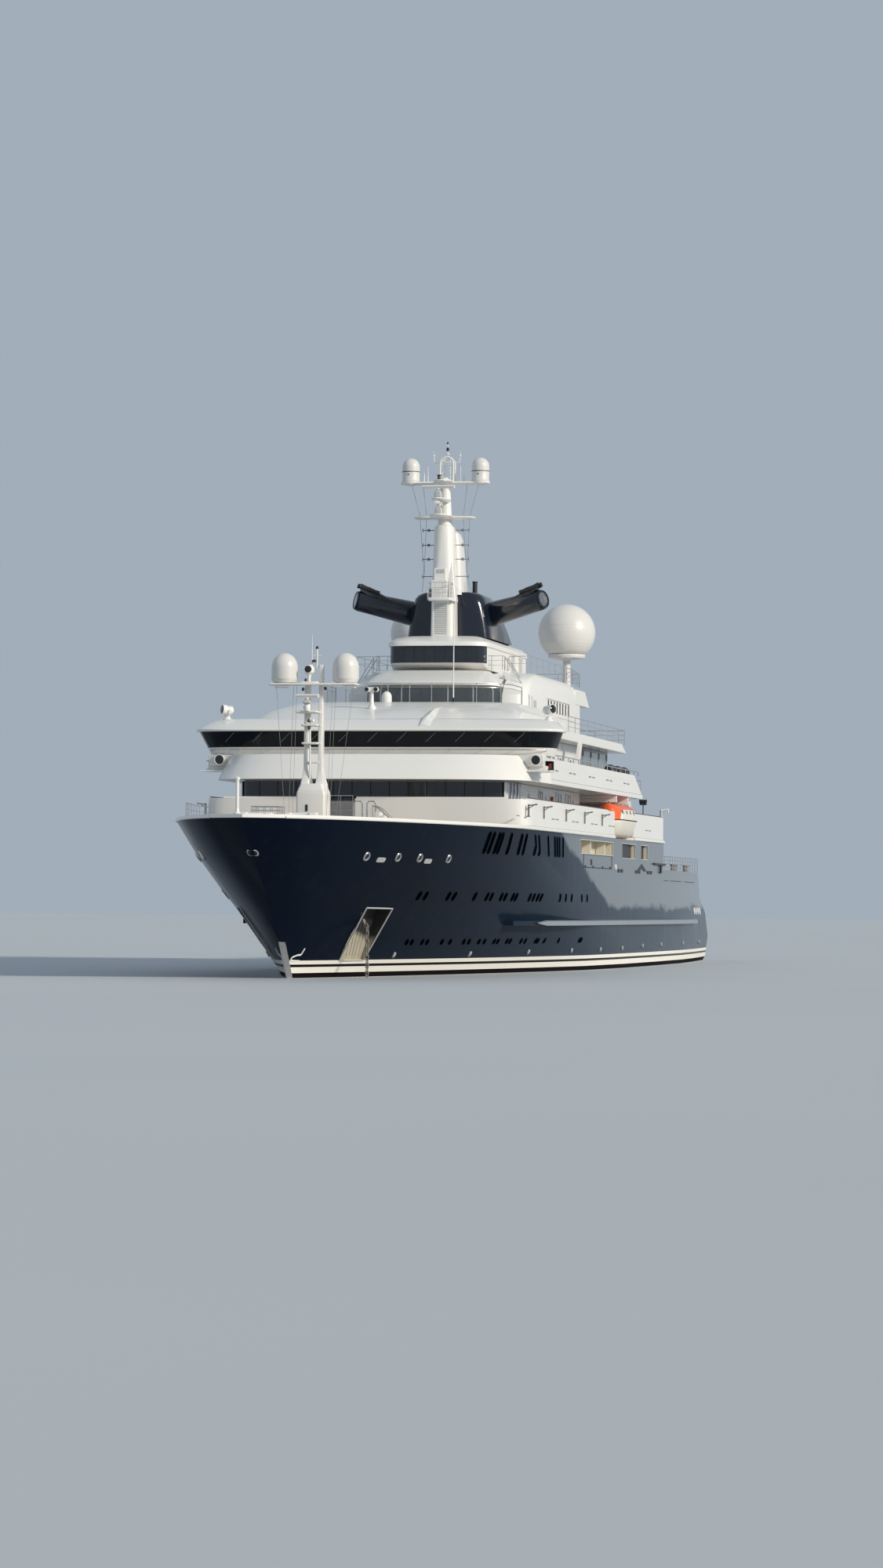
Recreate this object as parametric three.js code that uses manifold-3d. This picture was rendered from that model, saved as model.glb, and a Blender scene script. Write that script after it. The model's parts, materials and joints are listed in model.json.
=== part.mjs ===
// Motor yacht, a 1:10 model of a ship 126 m long.
// Frame: +X forward, +Y to port, +Z up; the origin is on the centreline at the waterline, amidships.
// Every size below is in metres of the full-size ship. METRE turns them into model millimetres.

import * as THREE from 'three';
import { mergeVertices } from 'three/addons/utils/BufferGeometryUtils.js';
import Module from 'manifold-3d';

const wasm = await Module();
wasm.setup();

const METRE = 100;
const GAP = 0.004;
const HALF_BEAM = 10.5;
const KEEL_Z = -5.7;

// Heights of the decks and of the bands between them.
const Z = {
  hullTop: 9.2,
  mainDeck: 9.42,
  railOne: 11.1,
  bandTwo: 12.3,
  railTwo: 13.95,
  sill: 14.46,
  lip: 15.46,
  wingRoof: 16.2,
  sunDeck: 17.75,
  upperDeck: 20.55,
  upperSill: 20.95,
  upperRoof: 22.1,
  aftDeck: 7.2,
  platform: 1.6,
};

const yacht = new THREE.Group();

// Colours as seen in soft light: [colour, roughness, metalness].
const FINISH = {
  navy: [0x141c2e, 0.2, 0.1],
  white: [0xe9e6de, 0.35, 0.0],
  glass: [0x0d1117, 0.1, 0.2],
  steel: [0x9a9890, 0.4, 0.8],
  orange: [0xd0401c, 0.5, 0.0],
  bronze: [0x8a6b3a, 0.35, 0.9],
  grey: [0x6f7378, 0.5, 0.2],
};

// A closed geometry as a solid that can be joined and cut.
function solid(geometry) {
  const bare = geometry.clone();
  bare.deleteAttribute('normal');
  bare.deleteAttribute('uv');
  const welded = mergeVertices(bare, 1e-5);
  return new wasm.Manifold(new wasm.Mesh({
    numProp: 3,
    vertProperties: new Float32Array(welded.attributes.position.array),
    triVerts: new Uint32Array(welded.index.array),
  }));
}

const isSolid = (item) => item instanceof wasm.Manifold;
const asSolid = (item) => (isSolid(item) ? item : solid(item));
const join = (...items) => items.map(asSolid).reduce((whole, item) => whole.add(item));
const cut = (body, ...tools) => tools.map(asSolid).reduce((rest, tool) => rest.subtract(tool), asSolid(body));

function fromSolid(body) {
  const mesh = body.getMesh();
  const geometry = new THREE.BufferGeometry();
  geometry.setAttribute('position', new THREE.BufferAttribute(new Float32Array(mesh.vertProperties), 3));
  geometry.setIndex(new THREE.BufferAttribute(new Uint32Array(mesh.triVerts), 1));
  return geometry;
}

// Adds one named piece to the yacht.
function add(name, item, finish) {
  const geometry = isSolid(item) ? fromSolid(item) : item;
  geometry.scale(METRE, METRE, METRE);
  geometry.computeVertexNormals();
  const [color, roughness, metalness] = FINISH[finish];
  const mesh = new THREE.Mesh(geometry, new THREE.MeshStandardMaterial({ color, roughness, metalness }));
  mesh.name = name;
  yacht.add(mesh);
}

const SIDES = [{ side: 'port', s: 1 }, { side: 'stbd', s: -1 }];

// A box between two values on each axis.
function box(x0, x1, y0, y1, z0, z1) {
  const geometry = new THREE.BoxGeometry(Math.abs(x1 - x0), Math.abs(y1 - y0), Math.abs(z1 - z0));
  return geometry.translate((x0 + x1) / 2, (y0 + y1) / 2, (z0 + z1) / 2);
}

// A round post, cone or drum from one point to another.
function rod(from, to, r0, r1 = r0, sides = 8) {
  const start = new THREE.Vector3(...from);
  const end = new THREE.Vector3(...to);
  const geometry = new THREE.CylinderGeometry(r1, r0, start.distanceTo(end), sides);
  const up = new THREE.Vector3(0, 1, 0);
  const turn = new THREE.Quaternion().setFromUnitVectors(up, end.clone().sub(start).normalize());
  geometry.applyQuaternion(turn);
  const middle = start.add(end).multiplyScalar(0.5);
  return geometry.translate(middle.x, middle.y, middle.z);
}

// A turned piece about a vertical axis; profile is a list of [radius, height].
function turned(profile, x, y, z, sides = 20) {
  const points = profile.map(([r, h]) => new THREE.Vector2(r, h));
  return new THREE.LatheGeometry(points, sides).rotateX(Math.PI / 2).translate(x, y, z);
}

// A plan outline [[x, y], ...] raised from z0 to z1.
function slab(outline, z0, z1) {
  const shape = new THREE.Shape(outline.map(([x, y]) => new THREE.Vector2(x, y)));
  return new THREE.ExtrudeGeometry(shape, { depth: z1 - z0, bevelEnabled: false }).translate(0, 0, z0);
}

// Plan outline of a streamlined section between two x, with its greatest thickness.
function foil(fore, aft, thick, y) {
  const chord = fore - aft;
  const half = [[0, 0], [0.04, 0.62], [0.15, 0.95], [0.3, 1], [0.6, 0.66], [1, 0.06]];
  const upper = half.map(([t, h]) => [fore - t * chord, y + (h * thick) / 2]);
  const lower = half.slice(1).map(([t, h]) => [fore - t * chord, y - (h * thick) / 2]).reverse();
  return [...upper, ...lower];
}

// A side outline [[x, z], ...] given thickness across the ship, from y0 to y1.
function profile(outline, y0, y1) {
  const shape = new THREE.Shape(outline.map(([x, z]) => new THREE.Vector2(x, z)));
  const geometry = new THREE.ExtrudeGeometry(shape, { depth: Math.abs(y1 - y0), bevelEnabled: false });
  return geometry.rotateX(Math.PI / 2).translate(0, Math.max(y0, y1), 0);
}

// A solid through level rings of [x, y, z] points, lowest first; each ring runs from the stern along
// the port side to the bow and back along starboard, so opposite points pair up across the ship.
function stack(rings) {
  const corners = [];
  const put = (a, b, c) => corners.push(...a, ...b, ...c);
  const count = rings[0].length;
  for (let level = 0; level + 1 < rings.length; level += 1) {
    for (let i = 0; i < count; i += 1) {
      const j = (i + 1) % count;
      const [a, b, c, d] = [rings[level][i], rings[level][j], rings[level + 1][j], rings[level + 1][i]];
      put(a, c, b);
      put(a, d, c);
    }
  }
  for (const [ring, up] of [[rings[0], false], [rings[rings.length - 1], true]]) {
    for (let i = 0; i + 1 < count / 2; i += 1) {
      const quad = [ring[i], ring[i + 1], ring[count - 2 - i], ring[count - 1 - i]];
      const [a, b, c, d] = up ? [quad[3], quad[2], quad[1], quad[0]] : quad;
      put(a, b, c);
      put(a, c, d);
    }
  }
  const geometry = new THREE.BufferGeometry();
  geometry.setAttribute('position', new THREE.BufferAttribute(new Float32Array(corners), 3));
  return withoutSlivers(mergeVertices(geometry, 1e-5));
}

// Drops the triangles that welding has brought down to a line.
function withoutSlivers(geometry) {
  const kept = [];
  const index = geometry.index.array;
  for (let i = 0; i < index.length; i += 3) {
    const [a, b, c] = [index[i], index[i + 1], index[i + 2]];
    if (a !== b && b !== c && a !== c) kept.push(a, b, c);
  }
  geometry.setIndex(kept);
  return geometry;
}

// A ring for stack: port points [x, y] from the stern to the bow, mirrored, at height z.
function ring(portPoints, z) {
  const port = portPoints.map(([x, y]) => [x, y, z]);
  const starboard = portPoints.map(([x, y]) => [x, -y, z]).reverse();
  return [...port, ...starboard];
}

// Plan of a house front: a curve from the side corner to the centreline, as port [x, y] points from
// the stern. aft and side are the aft x and the half breadth; corner and nose are the x where the
// front leaves the side and where it meets the centreline; power squares the curve up.
function housePlan({ aft, side, corner, nose, power = 3, aftSide = side, steps = 9 }) {
  const points = [[aft, 0], [aft, aftSide]];
  for (let i = 0; i <= steps; i += 1) {
    const angle = (i / steps) * (Math.PI / 2);
    const y = side * Math.cos(angle) ** (2 / power);
    const x = corner + (nose - corner) * Math.sin(angle) ** (2 / power);
    points.push([x, i === steps ? 0 : y]);
  }
  return points;
}

// A house with a lower and an upper plan.
const house = (low, z0, high, z1) => stack([ring(housePlan(low), z0), ring(housePlan(high), z1)]);

// The hull's waterlines, lowest first. stern and stem: x of the two ends; beam: greatest half
// breadth; entry, full, blunt: length and shape of the fore taper; run, tail: length of the aft
// taper and half breadth at the stern.
const WATERLINES = [
  { z: KEEL_Z, stern: -24, stem: 47.0, beam: 6.6, entry: 62, full: 1.5, blunt: 1.15, run: 34, tail: 3.0 },
  { z: -5.1, stern: -31, stem: 49.5, beam: 8.9, entry: 62, full: 1.5, blunt: 1.15, run: 34, tail: 4.6 },
  { z: -3.9, stern: -40, stem: 50.8, beam: 10.0, entry: 60, full: 1.5, blunt: 1.1, run: 30, tail: 6.0 },
  { z: -2.2, stern: -51, stem: 51.2, beam: 10.3, entry: 58, full: 1.5, blunt: 1.05, run: 30, tail: 7.4 },
  { z: -0.9, stern: -60, stem: 51.7, beam: 10.35, entry: 56, full: 1.5, blunt: 1.0, run: 34, tail: 8.1 },
  { z: 0.3, stern: -62.2, stem: 52.8, beam: 10.4, entry: 54, full: 1.5, blunt: 0.95, run: 36, tail: 8.5 },
  { z: 2.0, stern: -62.4, stem: 54.45, beam: 10.45, entry: 50, full: 1.5, blunt: 0.84, run: 36, tail: 8.7 },
  { z: 3.9, stern: -59.4, stem: 56.9, beam: 10.5, entry: 45, full: 1.45, blunt: 0.74, run: 34, tail: 8.9 },
  { z: 5.2, stern: -55.2, stem: 58.9, beam: 10.5, entry: 41, full: 1.38, blunt: 0.66, run: 32, tail: 9.0 },
  { z: 7.2, stern: -52.8, stem: 61.8, beam: 10.5, entry: 35, full: 1.24, blunt: 0.56, run: 30, tail: 9.2 },
  { z: Z.hullTop, stern: -52.4, stem: 64.2, beam: 10.5, entry: 29.5, full: 1.125, blunt: 0.503, run: 30, tail: 9.4 },
];
const STATIONS = [0, 0.06, 0.13, 0.22, 0.34, 0.48, 0.6, 0.68, 0.74, 0.79, 0.83, 0.87, 0.905, 0.935,
  0.96, 0.978, 0.991, 1];

// Half breadth of a waterline at x.
function halfBreadth(line, x) {
  const fore = THREE.MathUtils.clamp((line.stem - x) / line.entry, 0, 1);
  const aft = THREE.MathUtils.clamp((x - line.stern) / line.run, 0, 1);
  const bow = (1 - (1 - fore) ** line.full) ** line.blunt;
  const share = line.tail / line.beam;
  return line.beam * bow * (share + (1 - share) * Math.sin((aft * Math.PI) / 2));
}

// Port side of a waterline, grown outward by out, from x = aft to the stem.
function hullLine(line, out = 0, aft = line.stern) {
  return STATIONS.map((u) => {
    const x = aft + (line.stem - aft) * u;
    const y = u === 1 ? 0 : halfBreadth(line, x) + out;
    return [u === 1 ? x + out : x, y];
  });
}

const DECK_LINE = WATERLINES[WATERLINES.length - 1];
const STEP_X = -25.4;

// Side doors fold down from the boarding opening; the lifeboat hangs in a bay above it.
const DOOR = { x0: -0.8, x1: 11.2, low: 7.0, top: 7.95, thick: 0.16 };
const OPENINGS = [
  { x0: -1.3, x1: 12.6, z0: 7.95, z1: 8.9 },
  { x0: -11.4, x1: -5.2, z0: 7.85, z1: 8.9 },
  { x0: -17.3, x1: -13.9, z0: 7.85, z1: 8.9 },
];
const OPENING_DEPTH = 1.0;

// A solid between two like outlines of 3-D points, such as the mouth and the floor of a recess.
function between(first, second) {
  const corners = [];
  const count = first.length;
  for (let i = 0; i < count; i += 1) {
    const j = (i + 1) % count;
    corners.push(...first[i], ...first[j], ...second[j], ...first[i], ...second[j], ...second[i]);
  }
  for (let i = 1; i + 1 < count; i += 1) {
    corners.push(...first[0], ...first[i + 1], ...first[i], ...second[0], ...second[i], ...second[i + 1]);
  }
  const geometry = new THREE.BufferGeometry();
  geometry.setAttribute('position', new THREE.BufferAttribute(new Float32Array(corners), 3));
  return mergeVertices(geometry, 1e-5);
}

// The same solid made to face outward whichever way its outlines run.
function outward(solidGeometry) {
  const geometry = solidGeometry.index ? solidGeometry : mergeVertices(solidGeometry, 1e-5);
  const p = geometry.attributes.position;
  let volume = 0;
  const [a, b, c] = [new THREE.Vector3(), new THREE.Vector3(), new THREE.Vector3()];
  const index = geometry.index.array;
  for (let i = 0; i < index.length; i += 3) {
    a.fromBufferAttribute(p, index[i]);
    b.fromBufferAttribute(p, index[i + 1]);
    c.fromBufferAttribute(p, index[i + 2]);
    volume += a.dot(b.cross(c));
  }
  if (volume < 0) {
    for (let i = 0; i < index.length; i += 3) [index[i], index[i + 1]] = [index[i + 1], index[i]];
  }
  return geometry;
}

// Anchor pocket in the bow flare: corners on the hull's side [x, z, y], and how deep it goes in.
const POCKET = {
  corners: [[49.2, 4.17, 3.88, 1.1], [46.16, 4.14, 4.8, 1.1], [45.0, 1.0, 2.78, 0.2], [47.9, 1.02, 1.94, 0.2]],
  inward: [-0.2, -0.75, 0.5],
  out: 1.2,
};

// The recess from outside the hull to its floor; each corner has its own depth.
function pocketShape(s) {
  const shift = (amount) => POCKET.corners.map(([x, z, y, depth]) => {
    const by = amount < 0 ? amount : depth;
    return [x + POCKET.inward[0] * by, s * (y + POCKET.inward[1] * by), z + POCKET.inward[2] * by];
  });
  return outward(between(shift(-POCKET.out), shift(1)));
}

// Running gear: one propeller, shaft and rudder on each side.
const GEAR = { y: 4.2, z: -4.0, shaftFore: -37, hub: -52, strut: -50.4, propRadius: 1.5 };
const RUDDER = { x: -55.4, fore: -54.6, aft: -57.2, top: -2.05, low: -5.2, pad: -1.85 };
// The stabiliser fins stand square on the turn of the bilge, between two waterlines.
const [FIN_LOW, FIN_HIGH] = [WATERLINES[1], WATERLINES[2]];
const FIN = { x: -6, z: (FIN_LOW.z + FIN_HIGH.z) / 2, chord: 2.4, span: 1.1 };
const finRise = FIN_HIGH.z - FIN_LOW.z;
const finFlare = halfBreadth(FIN_HIGH, FIN.x) - halfBreadth(FIN_LOW, FIN.x);
FIN.y = (halfBreadth(FIN_HIGH, FIN.x) + halfBreadth(FIN_LOW, FIN.x)) / 2;
FIN.out = [finRise / Math.hypot(finRise, finFlare), -finFlare / Math.hypot(finRise, finFlare)];

// Stainless guard on the stem near the water, grown by a little where it cuts its own seat.
function stemGuard(grow) {
  const level = (x, z, fore, aft) => [
    [x, fore + grow, z], [x - 0.8 - grow, aft + grow, z], [x - 0.8 - grow, -aft - grow, z], [x, -fore - grow, z],
  ];
  return outward(between(level(52.46, -0.6 - grow, 0.14, 0.33), level(55.05, 2.15 + grow, 0.16, 0.42)));
}

// Rubbing strake along the after body, a bar on the side.
const STRAKE = { line: WATERLINES[7], x: [-46.5, -36, -26, -14, 14, 22, 28.3], z0: 3.1, z1: 3.4, in: -0.4, out: 0.25 };
function strake(s) {
  const edge = (out) => STRAKE.x.map((x) => [x, s * (halfBreadth(STRAKE.line, x) + out)]);
  return slab([...edge(STRAKE.in), ...edge(STRAKE.out).reverse()], STRAKE.z0, STRAKE.z1);
}

function hull() {
  let body = solid(stack(WATERLINES.map((line) => ring(hullLine(line), line.z))));
  const bulb = new THREE.SphereGeometry(1, 16, 10).scale(6.4, 1.7, 1.9).translate(51.6, 0, -3.5);
  const skeg = profile([[-20, -5.6], [-48, -5.2], [-48, -1.6], [-20, -4.4]], -0.45, 0.45);
  body = join(body, bulb, skeg);
  body = cut(body, box(STEP_X, -70, -12, 12, Z.aftDeck, 12));
  body = cut(body, profile([[-70, 1.6], [-57.4, 1.6], [-53.4, 6.4], [-53.4, 12], [-70, 12]], -7.2, 7.2));
  for (const { s } of SIDES) {
    for (const { x0, x1, z0, z1 } of OPENINGS) {
      body = cut(body, box(x0, x1, s * (HALF_BEAM - OPENING_DEPTH), s * 12, z0, z1));
    }
    const leaf = box(DOOR.x0 - 0.05, DOOR.x1 + 0.05, s * (HALF_BEAM - DOOR.thick - 0.05), s * 12,
      DOOR.low - GAP, DOOR.top + 0.1);
    const pads = [
      rod([GEAR.shaftFore, s * GEAR.y, -3.3], [GEAR.hub + 0.8, s * GEAR.y, GEAR.z], 0.22, 0.2),
      rod([GEAR.hub + 1.1, s * GEAR.y, GEAR.z], [GEAR.hub + 0.55 + GAP, s * GEAR.y, GEAR.z], 0.26, 0.26, 10),
      rod([GEAR.strut, s * GEAR.y, GEAR.z], [GEAR.strut, s * (GEAR.y + 1), -1.8], 0.16),
      rod([GEAR.strut, s * GEAR.y, GEAR.z], [GEAR.strut, s * (GEAR.y - 1), -1.8], 0.16),
      box(RUDDER.x - 0.5, RUDDER.x + 0.5, s * GEAR.y - 0.3, s * GEAR.y + 0.3, RUDDER.pad, -1.0),
      rod([FIN.x, s * (FIN.y - 1.2 * FIN.out[0]), FIN.z - 1.2 * FIN.out[1]],
        [FIN.x, s * (FIN.y + 0.1 * FIN.out[0]), FIN.z + 0.1 * FIN.out[1]], 0.6, 0.6, 12),
      strake(s),
    ];
    body = cut(join(body, ...pads), leaf, pocketShape(s));
  }
  return cut(body, stemGuard(GAP));
}
const hullBody = hull();
add('hull', hullBody, 'navy');

// White sheer strake with the foredeck on it.
const deckRing = (z) => ring(hullLine(DECK_LINE, 0.05, STEP_X), z);
const BOAT = { x0: -11.1, x1: -2.2, inner: 8.4, y: 9.8 };
const bayBox = (s, z0, z1) => box(BOAT.x0, BOAT.x1, s * BOAT.inner, s * 12, z0, z1);
add('main_deck', cut(
  stack([deckRing(Z.hullTop + GAP), deckRing(Z.mainDeck)]),
  bayBox(1, 9, 10), bayBox(-1, 9, 10),
), 'white');

add('stem_guard', stemGuard(0), 'steel');

for (const { side, s } of SIDES) {
  // Propeller with four blades on its hub.
  const hub = rod([GEAR.hub + 0.55, s * GEAR.y, GEAR.z], [GEAR.hub - 0.6, s * GEAR.y, GEAR.z], 0.3, 0.18, 12);
  const blades = [0, 1, 2, 3].map((i) => {
    const blade = new THREE.BoxGeometry(0.1, 0.85, GEAR.propRadius - 0.15);
    blade.translate(0, 0, (GEAR.propRadius - 0.15) / 2 + 0.15).rotateZ(s * 0.7).rotateX((i * Math.PI) / 2);
    return blade.translate(GEAR.hub, s * GEAR.y, GEAR.z);
  });
  add(`propeller_${side}`, join(hub, ...blades), 'bronze');

  // Spade rudder on its stock.
  const blade = slab(foil(RUDDER.fore, RUDDER.aft, 0.4, s * GEAR.y), RUDDER.low, RUDDER.top);
  const stock = rod([RUDDER.x, s * GEAR.y, RUDDER.top - 0.3], [RUDDER.x, s * GEAR.y, RUDDER.pad - GAP], 0.18);
  add(`rudder_${side}`, join(blade, stock), 'navy');

  // Stabiliser fin on the turn of the bilge.
  const finPlate = slab(foil(FIN.chord * 0.4, -FIN.chord * 0.6, 0.32, 0), 0.1, 0.1 + FIN.span);
  const finStock = rod([0, 0, GAP], [0, 0, 0.3], 0.15, 0.15, 10);
  const fin = fromSolid(join(finPlate, finStock)).rotateX(-s * Math.atan2(FIN.out[0], FIN.out[1]));
  const root = 0.1;
  add(`fin_${side}`, fin.translate(FIN.x, s * (FIN.y + root * FIN.out[0]), FIN.z + root * FIN.out[1]), 'navy');
}

// Half of a slab or solid: what lies on one side of the centreline, beyond y = inner.
const reach = 70;
const half = (body, s, inner = 0) => asSolid(body).intersect(asSolid(
  box(-reach, reach, s * inner, s * 20, -20, 60)));

// First tier: bulwark, house and its window band.
const ONE = { aft: -25.3, side: 10.45, corner: 30.2, nose: 32.6, power: 7 };
const HOUSE_ONE = { aft: -22, side: 8.5, corner: 29.2, nose: 30.6, power: 6 };
const wall = (low, z0, high, z1, thick) => {
  const shrink = (plan) => ({
    ...plan, aft: plan.aft - 1, side: plan.side - thick, corner: plan.corner - thick, nose: plan.nose - thick,
  });
  return cut(house(low, z0, high, z1), house(shrink(low), z0 - 0.01, shrink(high), z1 + 0.01));
};
const bulwarkOne = wall(ONE, Z.mainDeck + GAP, ONE, Z.railOne, 0.22);
const WALKWAY = { port: -0.6, stbd: 3.2 };
for (const { side, s } of SIDES) {
  const wallSide = half(bulwarkOne, s, s > 0 ? WALKWAY.port : WALKWAY.stbd);
  add(`bulwark_one_${side}`, asSolid(wallSide).intersect(asSolid(box(BOAT.x1, 40, -12, 12, 9, 12))), 'white');
  add(`bulwark_aft_${side}`, asSolid(wallSide).intersect(asSolid(box(-30, BOAT.x0, -12, 12, 9, 12))), 'white');
}
add('house_one', cut(
  house(HOUSE_ONE, Z.mainDeck + GAP, HOUSE_ONE, Z.bandTwo - GAP),
  box(-10.5, 1.2, 7.0, 12, 9, 13), box(-10.5, 1.2, -12, -7.0, 9, 13),
), 'white');
const bandPlan = (out) => ({
  aft: 24.2, side: HOUSE_ONE.side + out, corner: HOUSE_ONE.corner + out, nose: HOUSE_ONE.nose + out, power: 6,
});
add('window_band_one', cut(
  house(bandPlan(0.06), 11.0, bandPlan(0.06), Z.bandTwo - 0.06),
  house({ ...bandPlan(GAP), aft: 20 }, 10, { ...bandPlan(GAP), aft: 20 }, 13),
), 'glass');

// Second tier: the deep white brow, the deck behind it, its bulwarks and its house.
const BROW = { aft: 23.5, aftSide: 10.45, side: 10.3, corner: 28.4, nose: 33.6, power: 3.2 };
const BROW_TOP = { aft: 23.5, aftSide: 10.3, side: 9.75, corner: 27.4, nose: 32.0, power: 3.2 };
const brow = solid(house(BROW, Z.bandTwo, BROW_TOP, Z.railTwo));
add('brow_two', brow, 'white');
const DECK_TWO_AFT = -15.0;
add('deck_two', box(DECK_TWO_AFT, BROW.aft - GAP, -HALF_BEAM + 0.05, HALF_BEAM - 0.05, Z.bandTwo, 12.6), 'white');
for (const { side, s } of SIDES) {
  add(`bulwark_two_${side}`, profile([
    [BROW.aft - GAP, 12.6 + GAP], [BROW.aft - GAP, Z.railTwo], [-11.1, Z.railTwo], [-14.7, 12.6 + GAP],
  ], s * 10.23, s * 10.45), 'white');
}
add('house_two', box(-1.2, BROW.aft - GAP, -7.8, 7.8, 12.6 + GAP, 15.7 - GAP), 'white');
add('lounge_two', box(-15.3, -1.2 - GAP, -7.7, 7.7, 12.6 + GAP, 15.7 - GAP), 'glass');

// Wheelhouse: a floor, leaning pillars and glass all round, and an aft bulkhead.
const FLOOR = { aft: 23.5, aftSide: 9.2, side: 11.25, corner: 26.9, nose: 29.6, power: 4 };
const SILL = { aft: 23.5, aftSide: 9.3, side: 11.45, corner: 27.1, nose: 29.9, power: 4 };
const LIP = { aft: 23.5, aftSide: 9.4, side: 11.88, corner: 27.5, nose: 30.4, power: 4 };
const inset = (plan, by) => ({
  ...plan, aftSide: plan.aftSide - 1.4 * by, side: plan.side - by, corner: plan.corner - by, nose: plan.nose - by,
});
const wallTop = (by) => ({ ...inset(SILL, by), aft: by ? FLOOR.aft + 0.25 : FLOOR.aft });
const wallFoot = (by) => ({ ...inset(FLOOR, by), aft: by ? FLOOR.aft + 0.25 : FLOOR.aft });
add('wheelhouse_wall', cut(
  house(FLOOR, Z.railTwo + GAP, SILL, Z.sill),
  house(wallFoot(0.3), Z.railTwo, wallTop(0.3), Z.sill + 0.001),
), 'white');
const glassLow = Z.sill + GAP;
const glassHigh = Z.lip - GAP;
const paneOuter = house(inset(SILL, 0), glassLow, inset(LIP, 0), glassHigh);
const paneInner = house(inset(SILL, 0.06), glassLow - 0.001, inset(LIP, 0.06), glassHigh + 0.001);
const aheadOf = (x) => box(x, 60, -20, 20, 0, 40);
add('wheelhouse_glass', asSolid(cut(paneOuter, paneInner)).intersect(asSolid(aheadOf(FLOOR.aft + 0.3))), 'glass');
const postOuter = house(inset(SILL, 0.07), glassLow, inset(LIP, 0.07), glassHigh);
const postInner = house(inset(SILL, 0.2), glassLow - 0.001, inset(LIP, 0.2), glassHigh + 0.001);
let posts = asSolid(cut(postOuter, postInner));
const panes = 14;
for (let i = 0; i < panes; i += 1) {
  const width = (2 * (SILL.side - 1.2)) / panes;
  const y = -(SILL.side - 1.2) + (i + 0.5) * width;
  posts = cut(posts, box(26, 40, y - width * 0.42, y + width * 0.42, Z.sill + 0.12, Z.lip - 0.12));
}
for (const { s } of SIDES) {
  posts = cut(posts, box(24.4, 25.5, s * 9, s * 14, Z.sill + 0.12, Z.lip - 0.12));
  posts = cut(posts, box(25.8, 26.9, s * 9, s * 14, Z.sill + 0.12, Z.lip - 0.12));
}
add('wheelhouse_posts', posts.intersect(asSolid(aheadOf(FLOOR.aft + 0.3))), 'grey');
add('wheelhouse_bulkhead', box(FLOOR.aft, FLOOR.aft + 0.25, -9.0, 9.0, Z.sill + GAP, Z.lip - GAP), 'white');
add('wheelhouse_console', box(27.6, 28.4, -4.5, 4.5, Z.railTwo + GAP, 15.0), 'grey');
const ROOF = [
  { z: Z.lip, aft: FLOOR.aft, aftSide: 9.5, side: 12.08, corner: 27.4, nose: 30.6, power: 4 },
  { z: Z.lip + 0.16, aft: FLOOR.aft, aftSide: 9.5, side: 12.1, corner: 27.4, nose: 30.6, power: 4 },
  { z: Z.wingRoof, aft: FLOOR.aft, aftSide: 9.3, side: 11.4, corner: 26.4, nose: 29.2, power: 4 },
  { z: Z.wingRoof + 0.15, aft: FLOOR.aft, aftSide: 9.1, side: 10.6, corner: 25.8, nose: 28.6, power: 4 },
];
add('wheelhouse_roof', stack(ROOF.map((plan) => ring(housePlan(plan), plan.z))), 'white');

// The fairing over the wheelhouse, which carries the sun deck.
const COWL = [
  { z: Z.wingRoof + 0.15 + GAP, aft: 8, side: 8.75, corner: 24.6, nose: 28.4, power: 3.4 },
  { z: 16.95, aft: 8, side: 8.6, corner: 22.6, nose: 26.2, power: 3.4 },
  { z: 17.35, aft: 8, side: 8.0, corner: 20.6, nose: 23.9, power: 3.4 },
  { z: Z.sunDeck, aft: 8, side: 7.4, corner: 18.0, nose: 21.4, power: 3.4 },
];
add('sun_cowl', stack(COWL.map((plan) => ring(housePlan(plan), plan.z))), 'white');

// Fourth deck: the overhang that runs aft from the wheelhouse roof.
add('deck_four', profile([
  [FLOOR.aft - GAP, 15.7], [FLOOR.aft - GAP, 16.35], [8, 16.35], [-14.3, 16.35], [-16.5, 15.7],
], -9.0, 9.0), 'white');

// Bridge wing supports, fitted against the brow, with a shelf for the side light.
const seat = (s) => brow.translate([0, s * GAP, 0]);
for (const { side, s } of SIDES) {
  const bracket = profile([[29.4, 13.25], [29.7, Z.railTwo], [26.0, Z.railTwo], [26.0, 13.25]], s * 9.0, s * 10.95);
  const shelf = box(26.6, 29.2, s * 9.4, s * 11.1, 12.95, 13.3);
  add(`wing_box_${side}`, cut(join(bracket, shelf), seat(s)), 'white');
}

// Sun deck house with round shoulders and its aft visor.
const SHOULDER = [
  { z: Z.sunDeck + GAP, side: 6.3, corner: 9.0, nose: 11.2, aft: -9.7 },
  { z: 18.8, side: 6.3, corner: 8.9, nose: 11.1, aft: -9.7 },
  { z: 19.5, side: 6.3, corner: 8.2, nose: 10.4, aft: -9.7 },
  { z: 20.0, side: 6.24, corner: 6.9, nose: 9.2, aft: -9.7 },
  { z: 20.35, side: 6.05, corner: 5.2, nose: 7.4, aft: -9.0 },
  { z: Z.upperDeck, side: 5.7, corner: 3.4, nose: 5.2, aft: -8.0 },
];
const SUN_FRONT = 9.2;
add('sun_house', cut(join(
  stack(SHOULDER.map((plan) => ring(housePlan({ power: 2.6, ...plan }), plan.z))),
  box(-11.9, 7.98, -6.25, 6.25, 16.35 + GAP, 19.06),
  profile([[-9.6, 19.05], [-9.6, 20.15], [-13.8, 20.15], [-15.8, 19.05]], -6.3, 6.3),
), box(SUN_FRONT, 14, -4.7, 4.7, 17, 22)), 'white');

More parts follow.
